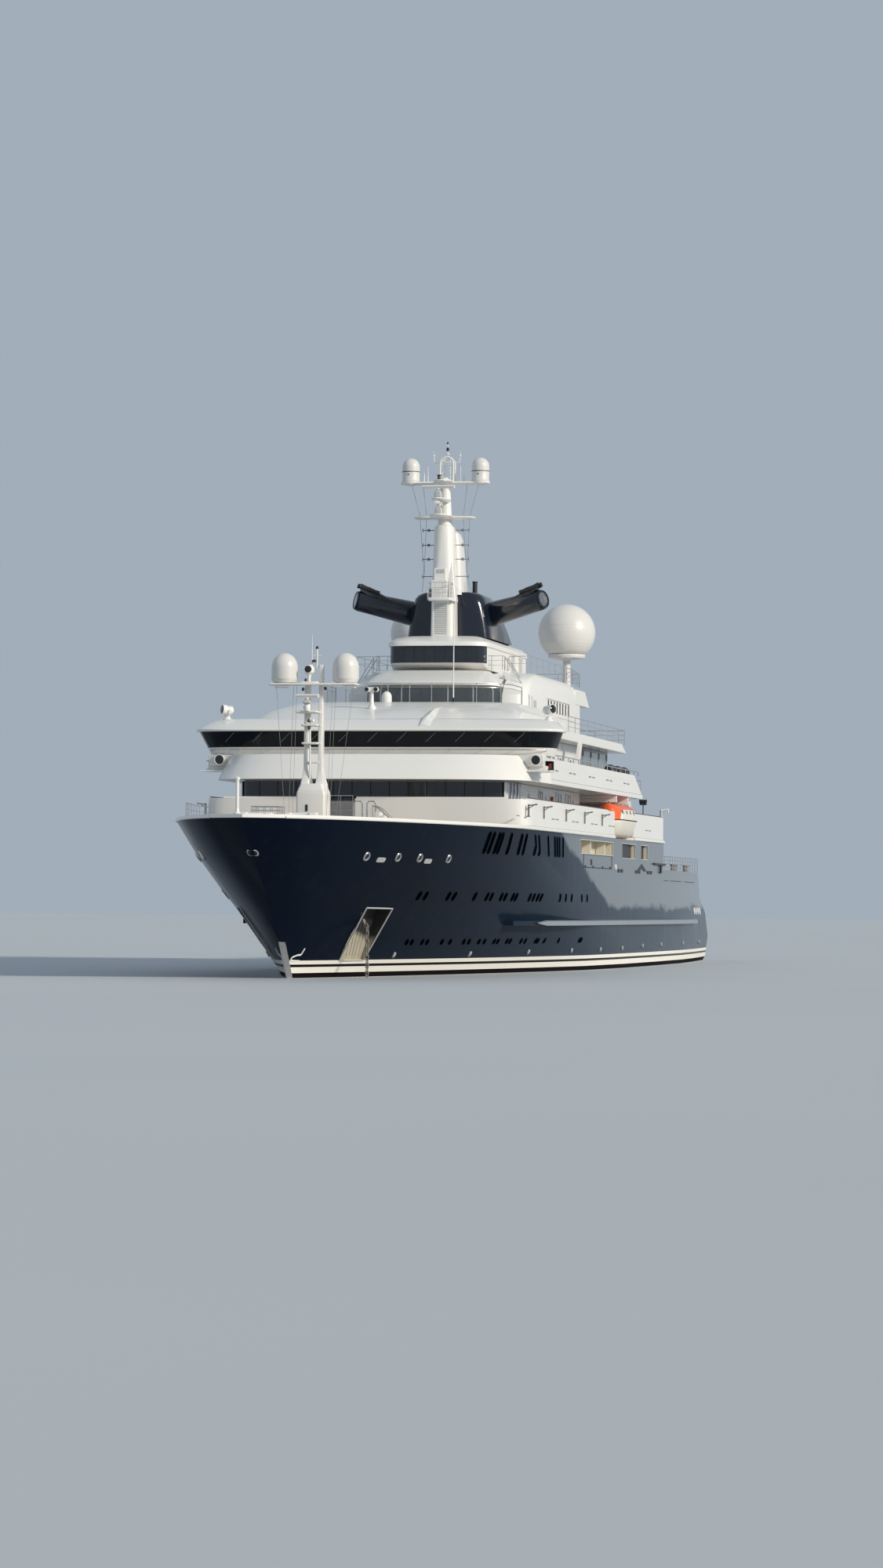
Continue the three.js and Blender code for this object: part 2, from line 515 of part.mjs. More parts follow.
// Sun deck screen and the canopy over it.
const screenPlan = (out) => ({ aft: 12.6, side: 6.5 + out, corner: 15.4 + out, nose: 18.9 + out, power: 3 });
add('sun_screen', cut(
  house(screenPlan(0), Z.sunDeck + GAP, screenPlan(0), 18.85),
  house({ ...screenPlan(-0.08), aft: 5 }, 17, { ...screenPlan(-0.08), aft: 5 }, 20),
), 'glass');
const CANOPY = [
  { z: 19.28, aft: SUN_FRONT + GAP, side: 4.65, corner: 11.2, nose: 14.4, power: 2.6 },
  { z: 19.45, aft: SUN_FRONT + GAP, side: 4.65, corner: 11.1, nose: 14.3, power: 2.6 },
  { z: 20.0, aft: SUN_FRONT + GAP, side: 4.2, corner: 10.4, nose: 12.8, power: 2.6 },
  { z: 20.4, aft: SUN_FRONT + GAP, side: 3.6, corner: 9.9, nose: 11.4, power: 2.6 },
];
add('canopy', stack(CANOPY.map((plan) => ring(housePlan(plan), plan.z))), 'white');
add('sun_bar', box(SUN_FRONT + GAP, 10.6, -4.4, 4.4, Z.sunDeck + GAP, 19.28 - GAP), 'glass');

// Observation lounge on top.
const LOUNGE = { aft: -5.4, side: 3.4, corner: 8.2, nose: 10.6, power: 4.5 };
const GLASS_AFT = 9.3;
const upperWalls = house(LOUNGE, Z.upperSill, LOUNGE, Z.upperRoof);
add('lounge_house', join(
  house({ ...LOUNGE, nose: 9.3, corner: 7.6 }, Z.upperDeck + GAP, LOUNGE, Z.upperSill + 0.01),
  asSolid(upperWalls).intersect(asSolid(box(-20, GLASS_AFT, -9, 9, 20, 23))),
), 'white');
add('lounge_glass', asSolid(upperWalls).intersect(asSolid(
  box(GLASS_AFT + GAP, 20, -9, 9, Z.upperSill + 0.01 + GAP, 23))), 'glass');
const LOUNGE_ROOF = [
  { z: Z.upperRoof + GAP, aft: LOUNGE.aft, side: 3.5, corner: 8.5, nose: 10.8, power: 4.5 },
  { z: 22.4, aft: LOUNGE.aft, side: 3.5, corner: 8.4, nose: 10.7, power: 4.5 },
  { z: 22.72, aft: LOUNGE.aft, side: 3.1, corner: 7.9, nose: 9.9, power: 4 },
  { z: 22.9, aft: LOUNGE.aft, side: 2.5, corner: 7.2, nose: 8.8, power: 4 },
];
add('lounge_roof', stack(LOUNGE_ROOF.map((plan) => ring(housePlan(plan), plan.z))), 'white');

// Funnel casing and the two exhaust arms swept forward and outward from it.
const FUNNEL = { fore: 6.3, aft: -3.0, z0: 22.9 + GAP, z1: 26.1, low: 2.75, high: 2.1 };
const casing = stack([
  ring([[FUNNEL.aft, 0], [FUNNEL.aft, FUNNEL.low], [FUNNEL.fore - 0.8, FUNNEL.low], [FUNNEL.fore, FUNNEL.low - 0.9],
    [FUNNEL.fore, 0]], FUNNEL.z0),
  ring([[1.6, 0], [1.6, FUNNEL.high], [FUNNEL.fore - 0.8, FUNNEL.high], [FUNNEL.fore, FUNNEL.high - 0.7],
    [FUNNEL.fore, 0]], FUNNEL.z1),
]);
const arms = SIDES.map(({ s }) => join(
  rod([3.4, s * 1.6, 24.45], [5.8, s * 6.6, 25.6], 0.85, 0.6, 16),
  rod([4.9, s * 5.2, 25.8], [5.9, s * 6.6, 26.4], 0.34, 0.3, 8),
));
add('funnel', join(casing, ...arms), 'navy');

// Main mast: trunk, column, yards with two domes, radar shelves and the top frame.
const MAST = { x: 7.4, trunkTop: 30.6, columnTop: 33.5 };
const SCANNERS = {
  upper: { x: 9.9, y: 0, z: 32.91, length: 2.3, turn: Math.PI / 2 },
  lower: { x: 9.7, y: 0, z: 31.8, length: 1.8, turn: 0 },
  fore: { x: 47.65, y: -0.2, z: 16.7, length: 1.42, turn: Math.PI / 2 },
};
const MAST_BASE = 22.9 + GAP;
const domeProfile = (r, h) => [
  [0, 0], [r * 0.92, 0], [r * 0.92, h * 0.06], [r, h * 0.1], [r, h * 0.5], [r * 0.96, h * 0.64], [r * 0.84, h * 0.8],
  [r * 0.6, h * 0.93], [r * 0.3, h * 0.985], [0, h],
];
const mast = join(
  stack([
    ring([[6.35, 0], [6.35, 1.0], [8.0, 1.0], [8.5, 0.7], [8.5, 0]], MAST_BASE),
    ring([[6.35, 0], [6.35, 0.86], [8.0, 0.86], [8.4, 0.6], [8.4, 0]], 26.0),
    ring([[6.35, 0], [6.35, 0.72], [7.8, 0.72], [8.1, 0.5], [8.1, 0]], MAST.trunkTop),
  ]),
  box(3.9, 6.4, -0.55, 0.55, FUNNEL.z1 + GAP, 30.2),
  rod([MAST.x, 0, 30], [MAST.x, 0, MAST.columnTop], 0.36, 0.32, 12),
  box(8.1, 9.3, -0.75, 0.75, 25.35, 25.5),
  box(8.0, 8.9, -0.6, 0.6, 25.4, 26.8),
  slab([[6.6, -2.05], [7.8, -2.05], [8.6, -0.9], [10.4, -0.5], [10.4, 0.5], [8.6, 0.9], [7.8, 2.05], [6.6, 2.05]], 31.05, 31.25),
  rod([9.7, 0, 31.2], [9.7, 0, 31.8 - GAP], 0.2, 0.2, 8),
  slab([[7.0, -0.5], [9.2, -0.8], [10.6, -0.7], [10.6, 0.7], [9.2, 0.8], [7.0, 0.5]], 32.2, 32.34),
  rod([9.9, 0, 32.3], [9.9, 0, 32.91 - GAP], 0.22, 0.2, 8),
  slab([[6.9, -3.12], [7.8, -3.12], [8.2, -0.9], [8.2, 0.9], [7.8, 3.12], [6.9, 3.12]], 33.45, 33.68),
  ...SIDES.map(({ s }) => turned(domeProfile(0.64, 1.75), 7.35, s * 2.45, 33.6, 14)),
  rod([7.35, -0.42, 33.6], [7.35, -0.42, 35.5], 0.06, 0.06, 6),
  rod([7.35, 0.42, 33.6], [7.35, 0.42, 35.5], 0.06, 0.06, 6),
  box(7.29, 7.41, -0.48, 0.48, 35.4, 35.52),
  rod([7.35, 0, 35.45], [7.35, 0, 36.55], 0.05, 0.03, 6),
  ...[30.33, 29.3, 28.32, 27.12].map((z) => box(7.1, 7.22, -1.65, 1.65, z, z + 0.09)),
);
add('main_mast', mast, 'white');

// A radar scanner: a bar on a short hub that turns on its gearbox.
function scanner({ x, y, z, length, turn }) {
  const bar = box(-0.11, 0.11, -length / 2, length / 2, 0.06, 0.28);
  const hub = rod([0, 0, 0], [0, 0, 0.12], 0.13, 0.13, 10);
  const body = fromSolid(join(bar, hub));
  return body.rotateZ(turn - Math.PI / 2).translate(x, y, z);
}
add('radar_upper', scanner(SCANNERS.upper), 'white');
add('radar_lower', scanner(SCANNERS.lower), 'white');
add('radar_fore', scanner(SCANNERS.fore), 'white');

// Foremast on the foredeck: a shouldered base, two legs, rungs and a crosspiece with two domes.
const FORE = { foot: Z.mainDeck + GAP, port: 0.82, stbd: -0.92 };
const footRing = (fore, aft, grow, z) => [
  [aft, FORE.stbd + grow, z], [aft, FORE.port - grow, z], [fore, FORE.port - grow, z], [fore, FORE.stbd + grow, z],
];
add('foremast', join(
  outward(between(footRing(47.3, 45.6, 0, FORE.foot), footRing(47.3, 45.6, 0, 10.8))),
  outward(between(footRing(47.3, 45.6, 0, 10.79), footRing(47.0, 46.0, 0.28, 11.75))),
  box(46.2, 46.8, -0.62, -0.32, 11.7, 17.5),
  box(46.15, 46.8, 0.22, 0.58, 11.7, 18.8),
  ...[13.55, 14.75].map((z) => box(46.35, 46.95, -0.6, 0.5, z, z + 0.12)),
  box(46.4, 48.1, -0.6, 0.5, 16.28, 16.4),
  box(46.2, 46.9, -2.7, 2.7, 17.45, 17.62),
  rod([SCANNERS.fore.x, SCANNERS.fore.y, 16.35], [SCANNERS.fore.x, SCANNERS.fore.y, SCANNERS.fore.z - GAP], 0.16, 0.16, 8),
  ...SIDES.map(({ s }) => turned(domeProfile(0.8, 1.95), 46.5, s * 1.89, 17.58, 16)),
  rod([46.5, 0.4, 18.7], [46.5, 0.4, 20.6], 0.05, 0.03, 6),
), 'white');

// Large satellite domes on their pedestals, on the after visor of the sun house.
const DOME = { x: -10.4, y: 5.5, z: 24.3, foot: 20.15 };
const DOME_PROFILE = [[0, -2.1], [1.35, -2.1], [1.38, -1.75], [1.3, -1.62], [1.7, -1.2], [2.02, -0.55], [2.09, 0],
  [2.0, 0.6], [1.75, 1.14], [1.32, 1.62], [0.75, 1.95], [0, 2.09]];
for (const { side, s } of SIDES) {
  add(`sat_dome_${side}`, join(
    turned(DOME_PROFILE, DOME.x, s * DOME.y, DOME.z, 24),
    rod([DOME.x, s * DOME.y, DOME.foot + GAP], [DOME.x, s * DOME.y, DOME.z - 2], 0.34, 0.3, 12),
  ), 'white');
}

// Lifeboats in their bays. Each hangs from two beams that slide outboard in guides under deck two.
const BOAT_MID = (BOAT.x0 + BOAT.x1) / 2;
const DAVIT = { reach: 2.6, in: 7.1, out: 10.3, guide: 12.05, arm: 11.8 };
for (const { side, s } of SIDES) {
  const plan = (z, w, l) => [
    [-1, -0.55], [-0.8, -1], [0.55, -1], [1, 0], [0.55, 1], [-0.8, 1], [-1, 0.55],
  ].map(([u, v]) => [BOAT_MID + u * l, s * BOAT.y + v * w, z]);
  const step = (z0, w0, l0, z1, w1, l1) => outward(between(plan(z0, w0, l0), plan(z1, w1, l1)));
  add(`lifeboat_${side}`, join(
    step(9.26, 0.35, 3.3, 9.9, 0.95, 3.9),
    step(9.89, 0.95, 3.9, 10.6, 1.12, 4.25),
    step(10.59, 1.06, 4.1, 11.1, 0.98, 3.9),
    step(11.09, 0.98, 3.9, 11.45, 0.7, 3.3),
    step(11.44, 0.6, 1.2, 11.75, 0.5, 1.0),
  ), 'orange');
  const at = [BOAT_MID - DAVIT.reach, BOAT_MID + DAVIT.reach];
  const beams = (y0, y1, z0, z1) => at.map((x) => box(x - 0.16, x + 0.16, s * y0, s * y1, z0, z1));
  add(`davit_${side}`, join(
    box(at[0], at[1], s * DAVIT.in, s * (DAVIT.in + 0.25), DAVIT.guide, Z.bandTwo - GAP),
    ...beams(DAVIT.in, DAVIT.out, DAVIT.guide, Z.bandTwo - GAP),
  ), 'white');
  add(`davit_arm_${side}`, join(
    box(at[0], at[1], s * DAVIT.in, s * (DAVIT.in + 0.2), DAVIT.arm, DAVIT.guide - GAP),
    ...beams(DAVIT.in, DAVIT.out, DAVIT.arm, DAVIT.guide - GAP),
    ...at.map((x) => rod([x, s * BOAT.y, DAVIT.arm + 0.05], [x, s * BOAT.y, 11.45 + GAP], 0.07, 0.07, 6)),
  ), 'white');
}

const CRANE = { x: -24.9, y: 10.34, foot: Z.railOne + GAP, top: 11.75, jib: 0.6 };
for (const { side, s } of SIDES) {
  // Boarding door that folds down outboard on its lower edge.
  add(`side_door_${side}`, box(DOOR.x0, DOOR.x1, s * (HALF_BEAM - DOOR.thick), s * HALF_BEAM, DOOR.low, DOOR.top), 'navy');
  // Small crane at the after end of the first tier: a post that turns, with its jib.
  add(`crane_${side}`, join(
    rod([CRANE.x, s * CRANE.y, CRANE.foot], [CRANE.x, s * CRANE.y, CRANE.top], 0.1, 0.08, 8),
    rod([CRANE.x, s * CRANE.y, CRANE.top - 0.05], [CRANE.x, s * (CRANE.y + CRANE.jib), CRANE.top + 0.08], 0.07, 0.05, 6),
    rod([CRANE.x, s * (CRANE.y + CRANE.jib - 0.05), CRANE.top + 0.08],
      [CRANE.x, s * (CRANE.y + CRANE.jib - 0.05), CRANE.top - 0.25], 0.04, 0.04, 6),
  ), 'white');
}

// Foredeck: the anchor windlass on its bed and the jackstaff at the bow.
add('windlass', join(
  box(54.2, 56.6, -2.4, 2.4, Z.mainDeck + GAP, 9.52),
  ...SIDES.map(({ s }) => join(
    rod([55.4, s * 0.7, 9.8], [55.4, s * 1.9, 9.8], 0.2, 0.2, 12),
    box(55.0, 55.8, s * 1.9, s * 2.25, 9.5, 10.05),
    box(55.0, 55.8, s * 0.45, s * 0.75, 9.5, 10.0),
  )),
), 'grey');
add('jackstaff', join(
  rod([63.2, -0.55, Z.mainDeck + GAP], [63.2, -0.55, 9.6], 0.16, 0.12, 8),
  rod([63.2, -0.55, 9.5], [63.2, -0.55, 11.5], 0.1, 0.1, 8),
), 'steel');

// Anchors. The starboard one is stowed in its pocket; the port one hangs in the water on its chain,
// which comes out of the head of its pocket.
function anchorShape() {
  const flukes = [-1, 1].map((side) => {
    const outline = [[0.4, -0.95], [0.95, -0.95], [0.9, 0.0], [0.75, 0.45], [0.5, 0.0]];
    return outward(between(outline.map(([x, y]) => [side * x, y, -0.12]), outline.map(([x, y]) => [side * x, y, 0.12])));
  });
  return join(box(-0.15, 0.15, -0.9, 1.0, -0.12, 0.12), box(-0.9, 0.9, -1.1, -0.72, -0.17, 0.17), ...flukes);
}
const AWAY = hullBody.translate([0, -GAP, 0]);
const [c0, c1, c2, c3] = POCKET.corners.map(([x, z, y, depth]) => new THREE.Vector3(
  x + POCKET.inward[0] * depth, -(y + POCKET.inward[1] * depth), z + POCKET.inward[2] * depth));
const up = c0.clone().add(c1).sub(c2).sub(c3).normalize();
const side = c1.clone().sub(c0).normalize();
const face = new THREE.Vector3().crossVectors(up, side).normalize();
if (face.y > 0) face.negate();
const along = new THREE.Vector3().crossVectors(up, face).normalize();
const floorMid = c0.clone().add(c1).add(c2).add(c3).multiplyScalar(0.25);
const stowed = new THREE.Matrix4().makeBasis(along, up, face).setPosition(
  floorMid.addScaledVector(face, 0.14).addScaledVector(up, 0.25));
add('anchor_stbd', cut(fromSolid(anchorShape()).applyMatrix4(stowed), AWAY), 'grey');
const CHAIN = { lip: [48.27, 3.5, 3.47], hang: [48.3, 3.75, 3.0], low: -2.2, r: 0.085 };
const [hx, hy, hz] = CHAIN.hang;
const lowered = fromSolid(anchorShape()).rotateX(Math.PI / 2).rotateZ(0.2).translate(hx, hy, CHAIN.low - 1.0);
add('anchor_port', cut(join(
  rod([47.7, 2.7, 3.55], CHAIN.lip, CHAIN.r, CHAIN.r, 8),
  rod(CHAIN.lip, CHAIN.hang, CHAIN.r, CHAIN.r, 8),
  rod(CHAIN.hang, [hx, hy, CHAIN.low - 0.1], CHAIN.r, CHAIN.r, 8),
  lowered,
), hullBody.translate([0, GAP, 0])), 'grey');

export default yacht;
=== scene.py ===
# %% [markdown]
# A long expedition motor yacht at one tenth of its size. The CAD part gives the solids: hull, decks,
# houses, masts, boats. This lesson gives them paint, glass, teak and steel, and adds what is too small
# for a solid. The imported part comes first, because every later piece is set against it.
# %% Load the part
import json
import math

import bmesh
import bpy
from mathutils import Matrix, Vector
from mathutils.bvhtree import BVHTree

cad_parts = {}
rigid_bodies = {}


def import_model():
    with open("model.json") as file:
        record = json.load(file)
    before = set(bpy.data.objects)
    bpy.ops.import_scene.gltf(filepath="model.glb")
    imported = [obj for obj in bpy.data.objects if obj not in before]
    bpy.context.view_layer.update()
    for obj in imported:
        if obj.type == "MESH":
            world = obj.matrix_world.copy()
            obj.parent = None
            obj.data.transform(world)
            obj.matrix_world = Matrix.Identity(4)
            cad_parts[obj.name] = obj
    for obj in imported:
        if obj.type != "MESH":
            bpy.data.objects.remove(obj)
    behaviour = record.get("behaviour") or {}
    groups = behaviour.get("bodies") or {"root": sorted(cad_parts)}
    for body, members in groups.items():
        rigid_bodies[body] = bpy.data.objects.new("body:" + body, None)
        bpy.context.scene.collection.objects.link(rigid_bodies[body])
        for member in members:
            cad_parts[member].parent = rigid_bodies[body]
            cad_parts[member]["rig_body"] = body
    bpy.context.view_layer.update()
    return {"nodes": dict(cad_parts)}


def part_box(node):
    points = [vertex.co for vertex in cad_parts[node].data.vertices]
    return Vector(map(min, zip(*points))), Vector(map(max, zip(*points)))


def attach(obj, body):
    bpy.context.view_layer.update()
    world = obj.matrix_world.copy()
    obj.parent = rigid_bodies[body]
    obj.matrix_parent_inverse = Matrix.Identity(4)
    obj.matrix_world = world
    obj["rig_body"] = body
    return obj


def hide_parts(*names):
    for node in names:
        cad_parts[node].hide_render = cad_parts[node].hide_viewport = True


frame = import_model()
nodes = frame["nodes"]
SHIP = 0.1  # model metres to one metre of the full-size ship
SIDES = (("port", 1), ("stbd", -1))  # ending of a node's name, sign of its y

# %% [markdown]
# The photo was taken from low down and far ahead, off the port bow. The camera stands at that same
# place, with a long lens. It looks aft, a little to starboard and a little up, and leans by half a
# degree.
# %% Camera
EYE = (302.58, 59.84, 4.29)  # ship metres
TURN, LIFT, LEAN = 0.200377, 0.028067, 0.0082
look = Vector((-math.cos(TURN) * math.cos(LIFT), -math.sin(TURN) * math.cos(LIFT), math.sin(LIFT)))
level = look.cross((0, 0, 1)).normalized()
rise = level.cross(look)
right = level * math.cos(LEAN) + rise * math.sin(LEAN)
top = rise * math.cos(LEAN) - level * math.sin(LEAN)
camera = bpy.data.objects.new("camera", bpy.data.cameras.new("camera"))
bpy.context.scene.collection.objects.link(camera)
camera.matrix_world = Matrix((right, top, -look)).transposed().to_4x4()
camera.location = Vector(EYE) * SHIP
camera.data.lens = 100.15
camera.data.clip_end = 500
bpy.context.scene.camera = camera
print("camera", [round(v, 2) for v in camera.location])

# %% [markdown]
# A shader is arithmetic on sockets. One small class lets that arithmetic be written as it is spoken,
# and a second one holds a material's tree and makes any other node from its type and its settings.
# %% Shader arithmetic
class Wire:
    """A socket that takes part in sums; each operator adds one Math node."""

    def __init__(self, recipe, socket):
        self.recipe, self.socket = recipe, socket

    def __add__(self, other):
        return self.recipe.math("ADD", self, other)

    def __sub__(self, other):
        return self.recipe.math("SUBTRACT", self, other)

    def __rsub__(self, other):
        return self.recipe.math("SUBTRACT", other, self)

    def __mul__(self, other):
        return self.recipe.math("MULTIPLY", self, other)

    def __gt__(self, other):
        return self.recipe.math("GREATER_THAN", self, other)

    def __lt__(self, other):
        return self.recipe.math("LESS_THAN", self, other)


class Recipe:
    """A material with a Principled shader; fixed values go straight onto its sockets."""

    def __init__(self, name, **fixed):
        self.material = bpy.data.materials.new(name)
        self.material.use_nodes = True
        self.tree = self.material.node_tree
        self.shader = self.tree.nodes["Principled BSDF"]
        self.give(**fixed)

    def node(self, kind, settings=None, inputs=None, output=0):
        made = self.tree.nodes.new("ShaderNode" + kind)
        for key, value in (settings or {}).items():
            setattr(made, key, value)
        for key, value in (inputs or {}).items():
            self.feed(made.inputs[key], value)
        return Wire(self, made.outputs[output])

    def feed(self, socket, value):
        if isinstance(value, Wire):
            self.tree.links.new(value.socket, socket)
        else:
            socket.default_value = value

    def math(self, operation, a, b=0.0):
        return self.node("Math", {"operation": operation}, {0: a, 1: b})

    def give(self, **sockets):
        for key, value in sockets.items():
            self.feed(self.shader.inputs[key.replace("_", " ")], value)
        return self

    def place(self, stretch=(1, 1, 1)):
        """Where a point is on the piece, in ship metres, drawn out along an axis if asked."""
        at = self.node("TexCoord", output=3)
        scale = [1 / SHIP / s for s in stretch]
        return self.node("VectorMath", {"operation": "MULTIPLY"}, {0: at, 1: scale})

    def axis(self, number, at=None):
        return self.node("SeparateXYZ", inputs={0: at or self.place()}, output=number)

    def facing_up(self):
        """1 where the surface is a deck, 0 where it is a wall."""
        normal = self.node("TexCoord", output=1)
        return self.axis(2, normal) > 0.93

    def mix(self, factor, a, b):
        return self.node("Mix", {"data_type": "RGBA"}, {0: factor, 6: a, 7: b}, output=2)

    def ramp(self, value, start, end, low=0.0, high=1.0):
        """Runs from low to high while the value runs from start to end."""
        return self.node("MapRange", {}, {0: value, 1: start, 2: end, 3: low, 4: high})

    def noise(self, scale, detail=3.0, rough=0.5, stretch=(1, 1, 1)):
        inputs = {"Vector": self.place(stretch), "Scale": scale, "Detail": detail, "Roughness": rough}
        return self.node("TexNoise", inputs=inputs)

    def wave(self, value, pitch, share):
        """1 in a thin line at every pitch of a coordinate, share of the pitch wide."""
        return self.math("FRACT", value * (1 / pitch)) < share

    def bump(self, height, distance, strength=1.0):
        inputs = {"Height": height, "Distance": distance * SHIP, "Strength": strength}
        return self.give(Normal=self.node("Bump", inputs=inputs))


print("shader helpers ready")

# %% [markdown]
# White topcoat covers the houses, masts and domes. It is nearly flawless, so it needs only what real
# paint shows from a quay: a slow change of tone, faint seams where plates meet, rain marks that run
# down, and a gloss that is not the same everywhere.
# %% White paint
WHITE = (0.80, 0.79, 0.765, 1)
TEAK = (0.30, 0.185, 0.10, 1)


def teak_tone(recipe):
    """Planks along the ship with dark caulking between them, greyed in patches."""
    y = recipe.axis(1)
    caulk = recipe.wave(y, 0.14, 0.10)
    grain = recipe.noise(6.0, 5.0, stretch=(8, 0.4, 1))
    grey = recipe.noise(0.35, 2.0)
    wood = recipe.mix(grain, TEAK, (0.44, 0.35, 0.25, 1))
    wood = recipe.mix(grey * 0.9, wood, (0.40, 0.37, 0.33, 1))
    return recipe.mix(caulk, wood, (0.02, 0.018, 0.016, 1)), caulk


def white_paint(name, tone=WHITE, seams=(2.6, 2.3), decked=False):
    paint = Recipe(name, Coat_Weight=0.35, Coat_Roughness=0.08)
    broad = paint.noise(0.12, 2.0)
    rain = paint.noise(1.4, 4.0, 0.6, stretch=(0.5, 0.5, 6))
    seam_x = paint.wave(paint.axis(0), seams[0], 0.012)
    seam_z = paint.wave(paint.axis(2) + 0.35, seams[1], 0.012)
    seam = paint.math("MAXIMUM", seam_x, seam_z)
    shade = tuple(v * 0.93 for v in tone[:3]) + (1,)
    stained = tuple(v * w for v, w in zip(tone[:3], (0.86, 0.85, 0.81))) + (1,)
    colour = paint.mix(broad, shade, tone)
    colour = paint.mix(paint.ramp(rain, 0.5, 0.8, high=0.16), colour, stained)
    colour = paint.mix(seam * 0.16, colour, stained)
    rough = paint.noise(2.2, 3.0) * 0.16 + 0.26
    dent = paint.noise(0.55, 2.0) * 0.012 - seam * 0.004
    if decked:
        deck = paint.facing_up()
        wood, caulk = teak_tone(paint)
        colour = paint.mix(deck, colour, wood)
        rough = rough + deck * 0.35
        dent = dent - deck * caulk * 0.01
    paint.give(Base_Color=colour, Roughness=rough)
    paint.bump(dent, 1.0, 0.8)
    return paint.material


white = white_paint("white_topcoat")
white_deck = white_paint("white_topcoat_teak_deck", decked=True)
radome = white_paint("radome_moulding", (0.68, 0.67, 0.65, 1), (90, 90))
cream = white_paint("cream_bay_lining", (0.66, 0.62, 0.52, 1), (1.2, 0.9))
print("white paints:", white.name, white_deck.name, cream.name)

# %% [markdown]
# The hull is dark blue, polished until it mirrors the water and the sky. Near the water it carries two
# white bands with a dark line between them, and red-brown bottom paint below. Heights decide all of
# that, so one height coordinate drives every band. The coat is glossier along the after sides, and there
# the blue is painted lighter, with a ragged edge: a painted reflection of the sky. The plating is never
# quite fair: broad soft hollows between the frames bend the reflections.
# %% Hull paint
NAVY = (0.0030, 0.0070, 0.0165, 1)
# Painted reflection: the lighter blue that stands for the sky mirrored in the after sides.
SKY_REFLECTION_NAVY = (0.0165, 0.0300, 0.0520, 1)
BANDS = ((1.03, 0.80), (0.64, 0.29))  # tops and feet of the white bands, ship metres
AFTER_DECK, PLATFORM_X = 7.0, -56.5  # level faces above one, or aft of the other, are decks


def hull_paint():
    paint = Recipe("navy_hull_gloss", Specular_IOR_Level=0.02, Coat_Roughness=0.05)
    z = paint.axis(2)
    reflection_ragging = paint.noise(0.09, 3.0)
    streak = paint.noise(0.8, 4.0, 0.6, stretch=(1, 1, 9))
    x = paint.axis(0)
    # Painted reflection: from the bow aft the blue is painted lighter, and lighter again towards the stern.
    aft_reflection = paint.ramp(x + reflection_ragging * 8, 50.0, 14.0)
    tone = paint.mix(aft_reflection, NAVY, SKY_REFLECTION_NAVY)
    stern_reflection = paint.ramp(x + reflection_ragging * 8, 14.0, -34.0)
    tone = paint.mix(stern_reflection, tone, (0.042, 0.063, 0.088, 1))
    tone = paint.mix((streak > 0.6) * 0.07, tone, (0.018, 0.028, 0.045, 1))
    # Painted reflection: a ragged band high on the after sides is painted pale grey-blue, the sky in the
    # polish.
    ragged = paint.noise(0.5, 5.0, 0.6, stretch=(2.5, 1, 1))
    shore = paint.ramp(x + reflection_ragging * 3, 2.0, 24.0, 4.3, 9.6)
    above = paint.ramp(z + ragged * 1.6 - shore, 0.7, 1.1)
    tone = paint.mix(above * aft_reflection, tone, (0.150, 0.172, 0.200, 1))
    tone = paint.mix(above * stern_reflection, tone, (0.19, 0.215, 0.24, 1))
    polish = above * 0.3 + aft_reflection * 0.02 + 0.012
    bare = paint.noise(3.0, 4.0)
    band = (z < BANDS[0][0]) * (z > BANDS[0][1]) + (z < BANDS[1][0]) * (z > BANDS[1][1])
    chalk = paint.mix(bare * 0.3, (0.82, 0.80, 0.75, 1), (0.60, 0.55, 0.45, 1))
    boot = (z < BANDS[0][1]) * (z > BANDS[1][1])
    tone = paint.mix(boot, tone, (0.006, 0.005, 0.006, 1))
    tone = paint.mix(band, tone, chalk)
    below = z < BANDS[1][1]
    slime = paint.noise(0.9, 5.0, 0.65, stretch=(3, 3, 1))
    bottom = paint.mix(slime, (0.055, 0.018, 0.014, 1), (0.035, 0.030, 0.022, 1))
    bottom = paint.mix(z > -0.4, bottom, (0.008, 0.006, 0.007, 1))
    tone = paint.mix(below, tone, bottom)
    stern_platform = (paint.axis(0) < PLATFORM_X) * (z > 1.2)
    deck = paint.facing_up() * paint.math("MAXIMUM", z > AFTER_DECK, stern_platform)
    wood, caulk = teak_tone(paint)
    tone = paint.mix(deck, tone, wood)
    dull = paint.math("MAXIMUM", below * 0.5, deck * 0.45)
    rough = paint.noise(0.5, 3.0) * 0.10 + 0.13 + dull + band * 0.15
    frames = paint.math("SINE", paint.axis(0) * (2 * math.pi / 2.4))
    fair = paint.noise(0.33, 1.0, stretch=(1.6, 1, 1)) * 0.05 + frames * 0.0015
    paint.give(Base_Color=tone, Roughness=rough, Coat_Weight=polish * (1 - deck) * (z > BANDS[0][0]))
    paint.bump(fair - deck * caulk * 0.012 + below * slime * 0.02, 1.0, 0.5)
    return paint.material


navy = hull_paint()
print("hull paint:", len(navy.node_tree.nodes), "nodes")

# %% [markdown]
# Everything else is one of a few finishes. Each has its own grain: brushed steel is drawn out along
# the bar, cast bronze is mottled, moulded plastic is slightly orange-peeled, and rubber is matt.
# %% Other finishes
def plain_finish(name, low, high, rough, scale, metallic=0.0, stretch=(1, 1, 1), grain=0.004, coat=0.0):
    paint = Recipe(name, Metallic=metallic, Coat_Weight=coat)
    spread = paint.noise(scale, 4.0, 0.55, stretch)
    fine = paint.noise(scale * 6, 3.0, 0.5, stretch)
    paint.give(Base_Color=paint.mix(spread, low, high), Roughness=fine * (rough[1] - rough[0]) + rough[0])
    paint.bump(fine * grain, 1.0, 0.6)
    return paint.material


